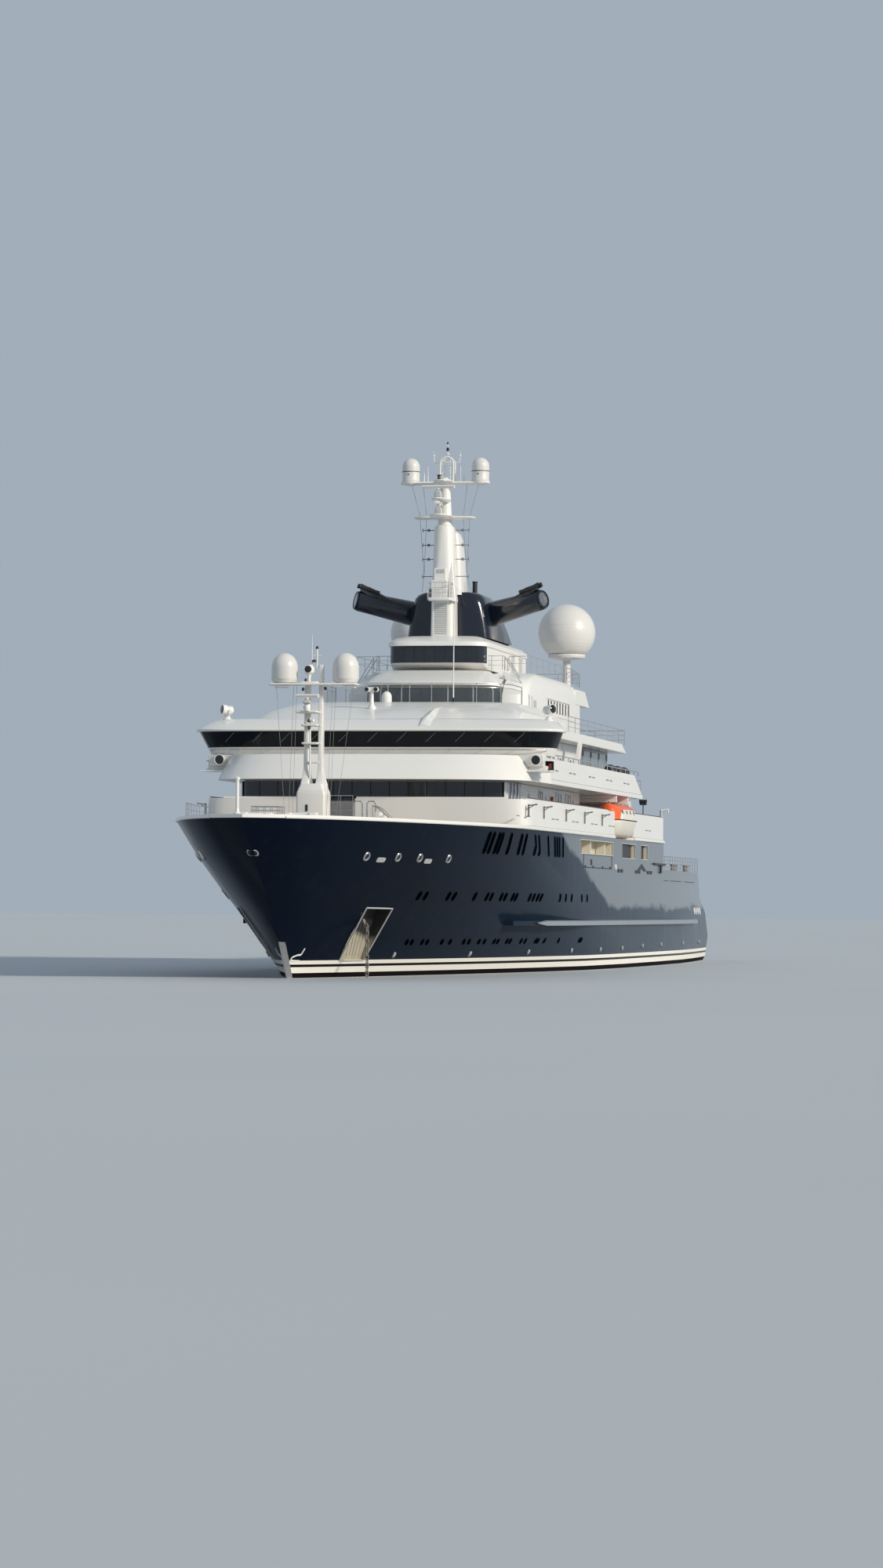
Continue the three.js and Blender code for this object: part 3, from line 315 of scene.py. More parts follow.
def glass(name, tone, alpha):
    """Dark window glass: a tint with faint grime in patches and a mirror's gloss."""
    paint = Recipe(name, IOR=1.5, Coat_Weight=0.5, Coat_Roughness=0.02)
    grime = paint.noise(0.7, 4.0, stretch=(1, 1, 2.5))
    lighter = tuple(v * 2.6 for v in tone[:3]) + (1,)
    paint.give(Base_Color=paint.mix(grime, tone, lighter), Roughness=grime * 0.08 + 0.03, Alpha=alpha)
    paint.bump(paint.noise(0.5, 1.0) * 0.01, 1.0, 0.3)
    return paint.material


dark_glass = glass("dark_window_glass", (0.006, 0.008, 0.011, 1), 1.0)
port_glass = glass("hull_window_glass", (0.0004, 0.0005, 0.0008, 1), 1.0)
funnel_navy = plain_finish("funnel_navy_gloss", (0.005, 0.008, 0.018, 1), (0.008, 0.013, 0.026, 1),
                           (0.12, 0.2), 0.6, coat=0.3)
bridge_glass = glass("tinted_bridge_glass", (0.003, 0.004, 0.006, 1), 0.88)
for pane_glass, shine in ((port_glass, 0.0), (bridge_glass, 0.15)):
    shader = pane_glass.node_tree.nodes["Principled BSDF"]
    shader.inputs["Specular IOR Level"].default_value = shine
    shader.inputs["Coat Weight"].default_value = shine
saloon_glass = glass("saloon_glass", (0.07, 0.085, 0.09, 1), 1.0)
clear_glass = glass("clear_screen_glass", (0.10, 0.12, 0.13, 1), 0.16)
steel = plain_finish("brushed_stainless", (0.55, 0.54, 0.52, 1), (0.72, 0.71, 0.69, 1),
                     (0.2, 0.38), 5, 1.0, (1, 1, 6))
bronze = plain_finish("cast_bronze", (0.42, 0.27, 0.10, 1), (0.62, 0.42, 0.18, 1), (0.25, 0.45), 3, 1.0)
pale = plain_finish("pale_grey_paint", (0.40, 0.41, 0.42, 1), (0.52, 0.52, 0.52, 1), (0.35, 0.5), 1.5)
grey = plain_finish("satin_grey_paint", (0.16, 0.165, 0.175, 1), (0.25, 0.255, 0.26, 1), (0.4, 0.55), 2.0)
black = plain_finish("black_gear", (0.008, 0.009, 0.012, 1), (0.025, 0.026, 0.03, 1), (0.3, 0.5), 3.0)
rubber = plain_finish("fender_rubber", (0.012, 0.012, 0.012, 1), (0.03, 0.03, 0.028, 1), (0.6, 0.8), 4.0)
chrome = plain_finish("galvanised_chain", (0.20, 0.18, 0.15, 1), (0.42, 0.39, 0.34, 1),
                      (0.4, 0.7), 8, 0.7)
red = plain_finish("signal_red", (0.45, 0.012, 0.01, 1), (0.6, 0.03, 0.02, 1), (0.25, 0.4), 3.0, coat=0.3)
print("finishes:", len(bpy.data.materials))

# %% [markdown]
# Pieces are built as meshes, in ship metres, from a handful of shapes: a box, a bar between two points,
# a frame of four bars, a tube along a path, a turned profile and a loft through rings. Rails, masts and
# gear are nothing else. The collected points become one object, whose edges may be softened with a bevel.
# %% Shapes
def rounded(mesh, crease):
    mesh.shade_smooth()
    mesh.set_sharp_from_angle(angle=math.radians(crease))


def soften(thing, width):
    """Rounds the hard edges, so that they catch the light as real plate edges do."""
    bevel = thing.modifiers.new("soft_edges", "BEVEL")
    bevel.width = width * SHIP
    bevel.segments = 2
    bevel.limit_method = "ANGLE"
    bevel.angle_limit = math.radians(38)
    bevel.use_clamp_overlap = True
    bevel.harden_normals = True


def angles(steps, first=0, last=None):
    """A circle cut in steps: the angles from the first step up to the last one."""
    return [2 * math.pi * k / steps for k in range(first, steps if last is None else last)]


def corner_ring(x, y, z):
    """The corners of a level rectangle between two values of x and two of y."""
    return [(x[0], y[0], z), (x[1], y[0], z), (x[1], y[1], z), (x[0], y[1], z)]


class Shape:
    def __init__(self):
        self.points, self.faces = [], []

    def add(self, points, faces):
        start = len(self.points)
        self.points += [Vector(p) for p in points]
        self.faces += [[start + i for i in face] for face in faces]
        return self

    def loft(self, rings, caps=True):
        """A skin through rings of equal length, in order."""
        count = len(rings[0])
        faces = []
        for r in range(len(rings) - 1):
            for i in range(count):
                j = (i + 1) % count
                faces.append([r * count + i, r * count + j, (r + 1) * count + j, (r + 1) * count + i])
        if caps:
            last = (len(rings) - 1) * count
            faces += [list(range(count))[::-1], [last + i for i in range(count)]]
        return self.add([p for ring in rings for p in ring], faces)

    def box(self, x, y, z):
        return self.loft([corner_ring(x, y, level) for level in z])

    def tube(self, path, radius, sides=8):
        """A round bar along a path; radius is one number, or one for each point."""
        path = [Vector(p) for p in path]
        radii = radius if isinstance(radius, (list, tuple)) else [radius] * len(path)
        rings, across = [], None
        for i, point in enumerate(path):
            ahead = (path[min(i + 1, len(path) - 1)] - path[max(i - 1, 0)]).normalized()
            if across is None:
                across = ahead.orthogonal().normalized()
            across = (across - ahead * across.dot(ahead)).normalized()
            over = ahead.cross(across)
            spokes = [across * math.cos(t) + over * math.sin(t) for t in angles(sides)]
            rings.append([point + spoke * radii[i] for spoke in spokes])
        return self.loft(rings)

    def bar(self, start, end, wide, deep):
        """A flat bar: wide across the ship's level, deep the other way."""
        start, end = Vector(start), Vector(end)
        ahead = (end - start).normalized()
        side = ahead.cross((0, 0, 1))
        side = side.normalized() if side.length > 1e-3 else Vector((0, 1, 0))
        over = side.cross(ahead)
        corners = [(-1, -1), (1, -1), (1, 1), (-1, 1)]
        ring = [side * (a * wide / 2) + over * (b * deep / 2) for a, b in corners]
        return self.loft([[start + c for c in ring], [end + c for c in ring]])

    def frame(self, x, y, z, wide, deep, lap=0.0, sill=True):
        """Bars round a rectangle in a wall; the uprights may run on by lap at both ends."""
        for at in x:
            self.bar((at, y, z[0] - lap), (at, y, z[1] + lap), wide, deep)
        for level in z if sill else z[1:]:
            self.bar((x[0], y, level), (x[1], y, level), wide, deep)

    def turned(self, profile, at, along=(0, 0, 1), sides=32):
        """A profile of (radius, height) pairs turned about an axis."""
        at, along = Vector(at), Vector(along).normalized()
        across = along.orthogonal().normalized()
        over = along.cross(across)
        spokes = [across * math.cos(t) + over * math.sin(t) for t in angles(sides)]
        return self.loft([[at + along * h + s * max(r, 1e-4) for s in spokes] for r, h in profile])


def piece(name, shape, finish, body="ship", edges=0.0, crease=35):
    """Turns a shape into an object that rides on a body of the part."""
    mesh = bpy.data.meshes.new(name)
    mesh.from_pydata([p * SHIP for p in shape.points], [], shape.faces)
    work = bmesh.new()
    work.from_mesh(mesh)
    bmesh.ops.recalc_face_normals(work, faces=work.faces)
    work.to_mesh(mesh)
    work.free()
    rounded(mesh, crease)
    mesh.materials.append(finish)
    thing = bpy.data.objects.new(name, mesh)
    bpy.context.scene.collection.objects.link(thing)
    if edges:
        soften(thing, edges)
    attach(thing, body)
    print(f"{name}: {len(mesh.polygons)} faces")
    return thing


def skin(node, finish, edges=0.0, crease=32):
    solid = nodes[node]
    mesh = solid.data.copy()
    mesh.name = node + "_skin"
    mesh.materials.clear()
    work = bmesh.new()
    work.from_mesh(mesh)
    bmesh.ops.remove_doubles(work, verts=work.verts, dist=1e-5)
    bmesh.ops.dissolve_limit(work, angle_limit=math.radians(0.4), verts=work.verts, edges=work.edges)
    work.to_mesh(mesh)
    work.free()
    if "custom_normal" in mesh.attributes:
        mesh.attributes.remove(mesh.attributes["custom_normal"])
    rounded(mesh, crease)
    mesh.materials.append(finish)
    thing = bpy.data.objects.new(node + "_skin", mesh)
    bpy.context.scene.collection.objects.link(thing)
    if edges:
        soften(thing, edges)
    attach(thing, solid["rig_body"])
    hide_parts(node)
    return thing


def surface(*names):
    """The named solids as one thing to shoot rays at, in ship metres."""
    points, faces = [], []
    for name in names:
        mesh = nodes[name].data
        start = len(points)
        points += [v.co / SHIP for v in mesh.vertices]
        faces += [[start + i for i in face.vertices] for face in mesh.polygons]
    return BVHTree.FromPolygons(points, faces)


def from_side(target, x, z, side):
    """Where a ray from port (1) or starboard (-1) meets a surface, and which way it faces."""
    point, normal, _, _ = target.ray_cast(Vector((x, side * 30, z)), Vector((0, -side, 0)))
    return point, normal


def from_ahead(target, y, z):
    point, normal, _, _ = target.ray_cast(Vector((90, y, z)), Vector((-1, 0, 0)))
    return point, normal


def from_above(target, x, y):
    point, normal, _, _ = target.ray_cast(Vector((x, y, 60)), Vector((0, 0, -1)))
    return point, normal


WHITE_SKINS = {  # node: how far its edges are rounded, ship metres
    "brow_two": 0.05, "house_one": 0.04, "house_two": 0.04, "wheelhouse_wall": 0.04,
    "wheelhouse_bulkhead": 0.03, "wheelhouse_roof": 0.07, "sun_cowl": 0.05, "sun_house": 0.09,
    "canopy": 0.04, "lounge_house": 0.04, "lounge_roof": 0.05,
    "radar_upper": 0.04, "radar_lower": 0.04, "radar_fore": 0.04,
}
DECK_SKINS = {"main_deck": 0.03, "deck_two": 0.03, "deck_four": 0.05}
OTHER_SKINS = {  # node: finish, and how far its edges are rounded
    "stem_guard": (steel, 0.02), "window_band_one": (dark_glass, 0.0), "lounge_two": (saloon_glass, 0.02),
    "wheelhouse_glass": (bridge_glass, 0.0), "wheelhouse_posts": (grey, 0.0),
    "wheelhouse_console": (grey, 0.05), "sun_screen": (clear_glass, 0.0), "sun_bar": (dark_glass, 0.03),
    "lounge_glass": (dark_glass, 0.0), "jackstaff": (white, 0.0), "windlass": (white, 0.03),
}
PAIRED_SKINS = {  # the same for nodes that lie on both sides
    "bulwark_one": (white, 0.03), "bulwark_aft": (white, 0.03), "bulwark_two": (white, 0.03),
    "wing_box": (white, 0.03), "davit": (white, 0.03), "davit_arm": (white, 0.02), "crane": (white, 0.0),
    "propeller": (bronze, 0.0), "rudder": (navy, 0.02), "fin": (navy, 0.02), "side_door": (navy, 0.015),
}
hull_skin = skin("hull", navy, crease=24)
for name, edge in WHITE_SKINS.items():
    skin(name, white, edge)
for name, edge in DECK_SKINS.items():
    skin(name, white_deck, edge)
for name, (finish, edge) in OTHER_SKINS.items():
    skin(name, finish, edge)
for name, (finish, edge) in PAIRED_SKINS.items():
    for word, _ in SIDES:
        skin(f"{name}_{word}", finish, edge)
skin("anchor_stbd", chrome, 0.02)
for vertex in bpy.data.objects["stem_guard_skin"].data.vertices:
    vertex.co.y *= 0.4
FOREDECK = 9.42 * SHIP
for vertex in bpy.data.objects["windlass_skin"].data.vertices:
    vertex.co.z = FOREDECK + (vertex.co.z - FOREDECK) * 0.45

# %% [markdown]
# The hull's skin is one mesh, but it shows four finishes: blue sides, teak decks, the cream lining of
# the side bays and the bare steel of the anchor pockets. The first two are told apart by height and
# slope in the shader. The others belong to faces, so those faces are found by where they lie.
# %% Bay and pocket linings
BAYS = {"x": (-17.4, 12.7), "z": (7.8, 8.95), "inside": 10.42}  # the lining lies closer in than this
POCKET_CORNERS = ((49.2, 3.88, 4.17), (46.16, 4.8, 4.14), (45.0, 2.78, 1.0), (47.9, 1.94, 1.02))
pocket_paint = Recipe("pocket_plating", Specular_IOR_Level=0.3)
wear_and_shadow_edge = pocket_paint.noise(2.5, 4.0, stretch=(1, 1, 4))
# Painted shadow: the upper, deeper part of each pocket is darkened nearly to black, for the shade in the
# recess; the noise is real wear and also rags the shadow's edge.
shade_line = pocket_paint.axis(2) + wear_and_shadow_edge * 0.3 - pocket_paint.axis(0) * 0.25
pocket_shadow = pocket_paint.ramp(shade_line, -9.1, -8.7)
plating = pocket_paint.mix(wear_and_shadow_edge, (0.30, 0.28, 0.22, 1), (0.52, 0.48, 0.38, 1))
pocket_paint.give(Base_Color=pocket_paint.mix(pocket_shadow, plating, (0.03, 0.03, 0.032, 1)),
                  Roughness=wear_and_shadow_edge * 0.25 + 0.35)
pocket_steel = pocket_paint.material
corners = [Vector(c) for c in POCKET_CORNERS]
pocket_in = Vector((-0.2, -0.75, 0.5))
across_pocket, down_pocket = corners[1] - corners[0], corners[3] - corners[0]
pocket_frame = Matrix((across_pocket, down_pocket, pocket_in)).transposed().inverted()
hull_skin.data.materials.append(cream)
hull_skin.data.materials.append(pocket_steel)
lined = 0
for face in hull_skin.data.polygons:
    at = face.center / SHIP
    port = Vector((at.x, abs(at.y), at.z))
    in_bay = BAYS["x"][0] < at.x < BAYS["x"][1] and BAYS["z"][0] < at.z < BAYS["z"][1]
    along, down, deep = pocket_frame @ (port - corners[0])
    in_pocket = -0.1 < along < 1.1 and -0.1 < down < 1.1 and 0.04 < deep < 2
    if in_bay and port.y < BAYS["inside"]:
        face.material_index = 1
    elif in_pocket:
        face.material_index = 2
    lined += face.material_index > 0
print("lined faces:", lined)

# %% [markdown]
# Small windows lie flush in the plating, each a dark pane inside a rim that stands a little proud. Rays
# find the plating: a small pane is a flat sheet that fits it best, a tall one follows it rung by rung.
# Each of the three rows is a short table of places with one height, one size and one forward lean. The
# rubbing strake gets a face too, painted a light grey-blue: a painted reflection of the sky on its top.
# %% Hull windows
hull = surface("hull")


def slot(x, z, wide, tall, lean=0.0, steps=5):
    """The outline of a window with round ends, in the ship's side view."""
    r = min(wide, tall) / 2
    turn = angles(2 * steps, 0, steps + 1)
    if tall >= wide:
        arc = [(r * math.cos(t), tall / 2 - r + r * math.sin(t)) for t in turn]
    else:
        arc = [(-wide / 2 + r - r * math.sin(t), r * math.cos(t)) for t in turn]
    both = arc + [(-a, -b) for a, b in arc]
    if tall > 3 * wide:
        edge = [(both[steps][0], both[steps][1] - (tall - 2 * r) * k / 6) for k in range(1, 6)]
        both = both[:steps + 1] + edge + both[steps + 1:] + [(-a, -b) for a, b in edge]
    return [(x + a + lean * b, z + b) for a, b in both]


def laid(target, outline, side, out):
    """An outline laid onto a surface, out metres proud of it."""
    found = []
    for x, z in outline:
        point, normal = from_side(target, x, z, side)
        found.append(point + normal * out)
    return found


def flat_on(target, outline, side, out):
    """The outline on the flat sheet that best fits the surface there and just clears it."""
    spots = [from_side(target, x, z, side)[0] for x, z in outline]
    normal = sum((p.cross(q) for p, q in zip(spots, spots[1:] + spots[:1])), Vector()).normalized()
    normal = normal if normal.y * side > 0 else -normal
    middle = sum(spots, Vector()) / len(spots)
    lifts = [(p - middle).dot(normal) for p in spots]
    out = out + max(lifts) if out > 0 else out + min(lifts)
    return [p + normal * (out - lift) for p, lift in zip(spots, lifts)]


def pane(shape, target, outline, side, out, lay=laid):
    shape.loft([lay(target, outline, side, -0.06), lay(target, outline, side, out)])


def tall_pane(shape, target, outline, side, out):
    """A tall window laid on rung by rung, so that it follows a bend in the plating."""
    face = laid(target, outline, side, out)
    shape.loft([laid(target, outline, side, -0.06), face], caps=False)
    half = len(face) // 2
    rungs = [[k, k + 1, 2 * half + 4 - k, (2 * half + 5 - k) % len(face)] for k in range(5, half)]
    shape.add(face, [list(range(6))] + rungs + [list(range(half, half + 6))])


def rim_of(shape, target, inner, outer, side, out, lay=flat_on):
    rings = [lay(target, outer, side, -0.06), lay(target, outer, side, out),
             lay(target, inner, side, out), lay(target, inner, side, -0.04)]
    shape.loft(rings, caps=False)


TALL = (39.44, 38.7, 37.69, 37.08, 35.37, 33.21, 32.15, 29.34, 28.09, 24.81, 22.4, 21.53, 20.66, 19.34)
MIDDLE = (44.2, 43.33, 40.12, 39.29, 36.1, 34.13, 33.35, 31.61, 30.87, 29.55, 28.93, 26.16, 25.34, 24.47,
          23.73, 18.94, 17.1, 15.24, 11.74, 9.58)
LOW = (41.04, 40.38, 38.98, 38.27, 36.17, 34.99, 32.88, 32.07, 30.5, 29.6, 27.93, 27.3,
       25.73, 25.14, 23.13, 22.3, 20.23, 19.78, 18.48, 15.31, 10.17, 9.74)
ROWS = (  # places, height, width, tallness, forward lean at the bow
    (TALL, 8.24, 0.38, 1.36, 0.5),
    (MIDDLE, 4.93, 0.42, 0.56, 0.6),
    (LOW, 2.09, 0.40, 0.38, 0.6),
)
LEAN_FROM, LEAN_FULL = 19.0, 32.0
panes, rims = Shape(), Shape()
for places, z, wide, tall, lean in ROWS:
    for x in places:
        leant = lean * min(max((x - LEAN_FROM) / (LEAN_FULL - LEAN_FROM), 0), 1)
        inner, outer = slot(x, z, wide, tall, leant), slot(x, z, wide + 0.03, tall + 0.03, leant)
        for side in (1, -1):
            if places is TALL:
                tall_pane(panes, hull, inner, side, 0.045)
                rim_of(rims, hull, inner, outer, side, 0.038, laid)
            else:
                pane(panes, hull, inner, side, 0.03, flat_on)
                rim_of(rims, hull, inner, outer, side, 0.024)
STRAKE = {"fore": 23.8, "aft": -46.3, "z": 3.25, "half": 0.155}
AROUND = [(dx, dz) for dx in (-1.2, -0.4, 0.4, 1.2) for dz in (-0.13, 0.0, 0.13)]
strake_face = Shape()
for side in (1, -1):
    rings = []
    for k in range(40):
        x = STRAKE["fore"] + (STRAKE["aft"] - STRAKE["fore"]) * k / 39
        near = [from_side(hull, x + dx, STRAKE["z"] + dz, side)[0] for dx, dz in AROUND]
        reach = side * max(abs(point.y) for point in near)
        half = STRAKE["half"] if k else 0.03
        section = ((-0.1, -half), (0.03, -half), (0.05, half * 0.8), (-0.1, half + 0.03))
        rings.append([(x, reach + side * d, STRAKE["z"] + h) for d, h in section])
    strake_face.loft(rings)
# Painted reflection: the strake face is light grey-blue, standing for the sky and sun caught on its upper
# side.
strake_paint = plain_finish("strake_painted_reflection", (0.20, 0.245, 0.29, 1),
                            (0.27, 0.31, 0.35, 1), (0.3, 0.45), 0.8, stretch=(0.3, 1, 1))
piece("strake_face", strake_face, strake_paint, crease=40)
piece("hull_windows", panes, port_glass, crease=20)
piece("hull_window_rims", rims, navy, crease=20)

# %% [markdown]
# Mooring lines leave the hull through oval leads of polished steel, with flat cover plates between them.
# One more lead lies on the stem itself. Along the waterline a row of small overflow lips catches the light.
# %% Leads, covers and overflow lips
LEADS = (54.11, 50.6, 47.87, 43.9)
COVERS = (52.28, 46.54)
LIPS = (  # place along the hull, height
    (41.6, 1.31), (30.7, 1.3), (20.6, 1.35), (11.3, 1.38), (2.9, 1.38), (-6.0, 1.41), (-15.4, 1.5),
    (-24.7, 1.53), (-37.5, 1.55), (-52.1, 1.54),
)
BOW_LEAD = {"z": 7.24, "wide": 0.7, "tall": 0.36}
rings, hole_shade, covers = Shape(), Shape(), Shape()
for side in (1, -1):
    for x in LEADS:
        inner, middle, outer = (slot(x, 7.18, w, t, 0.6, 7)
                                for w, t in ((0.38, 0.29), (0.51, 0.42), (0.62, 0.52)))
        rings.loft([laid(hull, outer, side, -0.03), laid(hull, outer, side, 0.03),
                    laid(hull, middle, side, 0.085), laid(hull, inner, side, 0.02)], caps=False)
        # Painted shade: the hole of each lead is a black sheet just inside the rim.
        pane(hole_shade, hull, inner, side, 0.006)
    for x in COVERS:
        pane(covers, hull, slot(x, 7.0, 0.95, 0.26, 0.5), side, 0.04)
    for x, z in LIPS:
        pane(covers, hull, slot(x, z, 0.2, 0.34, 0.2), side, 0.09)
        # Painted shade: a black sheet in each lip's mouth.
        pane(hole_shade, hull, slot(x, z - 0.1, 0.1, 0.12, 0.2), side, 0.1)
stem_ring = []
for share, out in ((1.0, -0.04), (1.0, 0.05), (0.8, 0.1), (0.6, 0.03)):
    ring = []
    for y, z in slot(0, BOW_LEAD["z"], BOW_LEAD["wide"] * share, BOW_LEAD["tall"] * share, 0, 8):
        point, _ = from_ahead(hull, y + 1e-3, z)
        ring.append(point + Vector((1, 0, 0)) * out)
    stem_ring.append(ring)
rings.loft(stem_ring, caps=False)
# Painted shade: the stem lead's hole is closed with a black sheet.
hole_shade.loft([stem_ring[2], stem_ring[3]], caps=False)
hole_shade.add(stem_ring[3], [list(range(len(stem_ring[3])))])
piece("mooring_leads", rings, steel, crease=50)
piece("lead_hole_shade", hole_shade, black, crease=50)
piece("lead_covers_and_lips", covers, pale, edges=0.01)

# %% [markdown]
# The anchor pockets have a steel edge all round and grooved plates inside. The edge is a thin bar that
# runs along the four sides of each pocket; the plates carry upright ribs.
# %% Anchor pockets
edges_of_pocket, ribs = Shape(), Shape()
for side in (1, -1):
    around = []
    for a, b in zip(corners, corners[1:] + corners[:1]):
        around += [a.lerp(b, t / 6) for t in range(6)]
    path = [Vector((p.x - pocket_in.x * 0.03, side * (p.y - pocket_in.y * 0.03), p.z)) for p in around]
    edges_of_pocket.tube(path + path[:1], 0.05, 6)
    for k in range(1, 8):
        head = corners[0].lerp(corners[1], k / 8)
        foot = corners[3].lerp(corners[2], k / 8)
        run = []
        for t in range(3, 11):
            at = head.lerp(foot, t / 11)
            origin = Vector((at.x, side * (at.y + 0.5), at.z))
            hit = hull.ray_cast(origin, Vector((0, -side, 0)), 3.0)
            if hit[0]:
                run.append(hit[0] + hit[1] * 0.01)
        if len(run) > 2:
            ribs.tube(run, 0.03, 5)
piece("pocket_edges", edges_of_pocket, pale)
piece("pocket_ribs", ribs, pocket_steel)

# %% [markdown]
# The port anchor hangs in the water. Its chain is real stud-less links, each turned a quarter from the
# last, laid along the same two legs as the solid chain: out over the pocket's lip, then straight down.
# %% Anchor chain and anchors
CHAIN_PATH = [Vector(p) for p in ((47.95, 3.05, 3.53), (48.27, 3.5, 3.47), (48.3, 3.75, 3.0),
                                  (48.3, 3.75, -2.25))]
LINK = {"pitch": 0.24, "long": 0.18, "wide": 0.09, "wire": 0.034}


def link(shape, at, along, flat):
    """One oval link: two half circles joined by straight sides."""
    over = along.cross(flat).normalized()
    path = []
    shift = LINK["long"] - LINK["wide"]
    for t in angles(12):
        reach = math.copysign(shift, math.cos(t)) if abs(math.cos(t)) > 1e-6 else 0
        forward = along * (reach * 0.9 + LINK["wide"] * math.cos(t))
        path.append(at + forward + over * LINK["wide"] * math.sin(t))
    shape.tube(path + path[:1], LINK["wire"], 6)


chain = Shape()
count = 0
for a, b in zip(CHAIN_PATH, CHAIN_PATH[1:]):
    along = (b - a).normalized()
    side_way = along.cross((0.3, 1, 0.2)).normalized()
    steps = max(1, round((b - a).length / LINK["pitch"]))
    for k in range(steps):
        flat = side_way if count % 2 else along.cross(side_way)
        link(chain, a.lerp(b, (k + 0.5) / steps), along, flat)
        count += 1


def anchor(shape, at, up, face):
    """A stockless anchor: shank, crown and two pointed flukes, with its ring at the top."""
    along = up.cross(face).normalized()

    def spot(a, b, c=0.0):
        return at + along * a + up * b + face * c

    shape.loft([[spot(w, h, -0.1), spot(-w, h, -0.1), spot(-w, h, 0.1), spot(w, h, 0.1)]
                for w, h in ((0.2, -0.9), (0.17, -0.2), (0.12, 0.75), (0.16, 0.95))])
    shape.loft([[spot(w, -1.1 + d, -c), spot(w, -0.74 - d, -c), spot(w, -0.74 - d, c),
                 spot(w, -1.1 + d, c)]
                for w, d, c in ((-0.9, 0.08, 0.1), (-0.55, 0, 0.17), (0.55, 0, 0.17), (0.9, 0.08, 0.1))])
    fluke = ((0.42, 0.94, -0.9, 0.12), (0.46, 0.92, -0.4, 0.11), (0.55, 0.86, 0.05, 0.08),
             (0.7, 0.78, 0.44, 0.03))
    for s in (-1, 1):
        shape.loft([[spot(s * a, h, -c), spot(s * b, h, -c), spot(s * b, h, c), spot(s * a, h, c)]
                    for a, b, h, c in fluke])
    ring = [spot(0.1 * math.cos(t), 1.0 + 0.1 * math.sin(t)) for t in angles(12, 0, 13)]
    shape.tube(ring, 0.035, 6)


turned_face = Vector((math.sin(0.2), -math.cos(0.2), 0))
lowered = Shape()
anchor(lowered, Vector((48.3, 3.75, -3.2)), Vector((0, 0, 1)), turned_face)
lowered.add(chain.points, chain.faces)
hanging = piece("port_anchor_and_chain", lowered, chrome, crease=40)
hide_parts("anchor_port")

# %% [markdown]
# Below the anchor row the stem carries a small painted sign that tells tugs a bulb lies under water: a
# plain outline of a bulb ahead of an upright stroke, the same on every ship that has one.
# %% Bulb sign
BULB_SIGN = {"x": 52.6, "z": 1.4, "size": 0.36}
size = BULB_SIGN["size"]
stroke = [(-0.5, 1.0), (-0.5, -0.05), (0.2, -0.1), (0.75, -0.45), (0.75, -0.95), (-0.6, -1.05)]
outline = [(BULB_SIGN["x"] + a * size * 1.6, BULB_SIGN["z"] + b * size) for a, b in stroke]
sign = Shape()
for side in (1, -1):
    for (ax, az), (bx, bz) in zip(outline, outline[1:]):
        across = Vector((bx - ax, bz - az)).orthogonal().normalized() * 0.045
        strip = [(ax + across.x, az + across.y), (bx + across.x, bz + across.y),
                 (bx - across.x, bz - across.y), (ax - across.x, az - across.y)]
        pane(sign, hull, strip, side, 0.03)
piece("bulb_sign", sign, white)

# %% [markdown]
# Along the after side lie the marks of work: the outline of the folding door with its grip, roller
# leads in pairs, a boom rest, a mooring bracket, long grooves and a row of white slots near the stern.
# %% Side gear
low, high = (Vector(v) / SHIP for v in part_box("side_door_port"))
slots_aft, gear = Shape(), Shape()
for name, side in SIDES:
    door_gear = Shape()
    y = side * (high.y + 0.012)
    door_gear.frame((low.x + 0.05, high.x - 0.05), y, (low.z + 0.04, high.z - 0.04), 0.03, 0.05)
    for x in (low.x + 0.8, low.x + 4, high.x - 4, high.x - 0.8):
        door_gear.box((x - 0.12, x + 0.12), (y, y + side * 0.04), (low.z + 0.02, low.z + 0.16))
    door_gear.box((7.75, 8.15), (y, y + side * 0.03), (7.2, 7.6))
    piece(f"side_door_frame_{name}", door_gear, black, body=f"side_door_{name}")
    # Painted shade: the roller leads are black sheets, for the shade inside them.
    for x in (-3.83, -5.2, -11.9, -13.2, -17.6, -19.0):
        pane(gear, hull, slot(x, 6.93, 0.85, 0.24), side, 0.05)
    bracket = [(-14.4, 7.52), (-16.7, 7.0), (-15.4, 7.0), (-14.4, 7.26), (-13.5, 7.0), (-12.2, 7.0)]
    pane(gear, hull, bracket, side, 0.05)
    beam_y = side * 10.56
    gear.bar((-20.0, beam_y, 7.6), (-25.6, beam_y, 7.58), 0.16, 0.14)
    gear.bar((-23.5, beam_y, 7.6), (-23.5, beam_y, 6.98), 0.12, 0.26)
    gear.box((-23.9, -23.1), (side * 10.42, side * 10.6), (6.93, 7.03))
    # Painted shade: the grooves are thin black strips, for the shade in them.
    for a, b in ((-25.7, -37.2), (-39.4, -49.0)):
        for k in range(6):
            xa, xb = a + (b - a) * k / 6, a + (b - a) * (k + 1) / 6
            pane(gear, hull, [(xa, 6.42), (xb, 6.42), (xb, 6.36), (xa, 6.36)], side, 0.01)
    for x in (-47.3, -49.2, -51.1, -53.0):
        pane(slots_aft, hull, slot(x, 4.08, 0.8, 0.6), side, 0.05)
    pane(slots_aft, hull, slot(-2.33, 7.16, 0.3, 0.42), side, 0.09)
piece("side_gear", gear, black, edges=0.01)
piece("side_slots", slots_aft, white, edges=0.02)

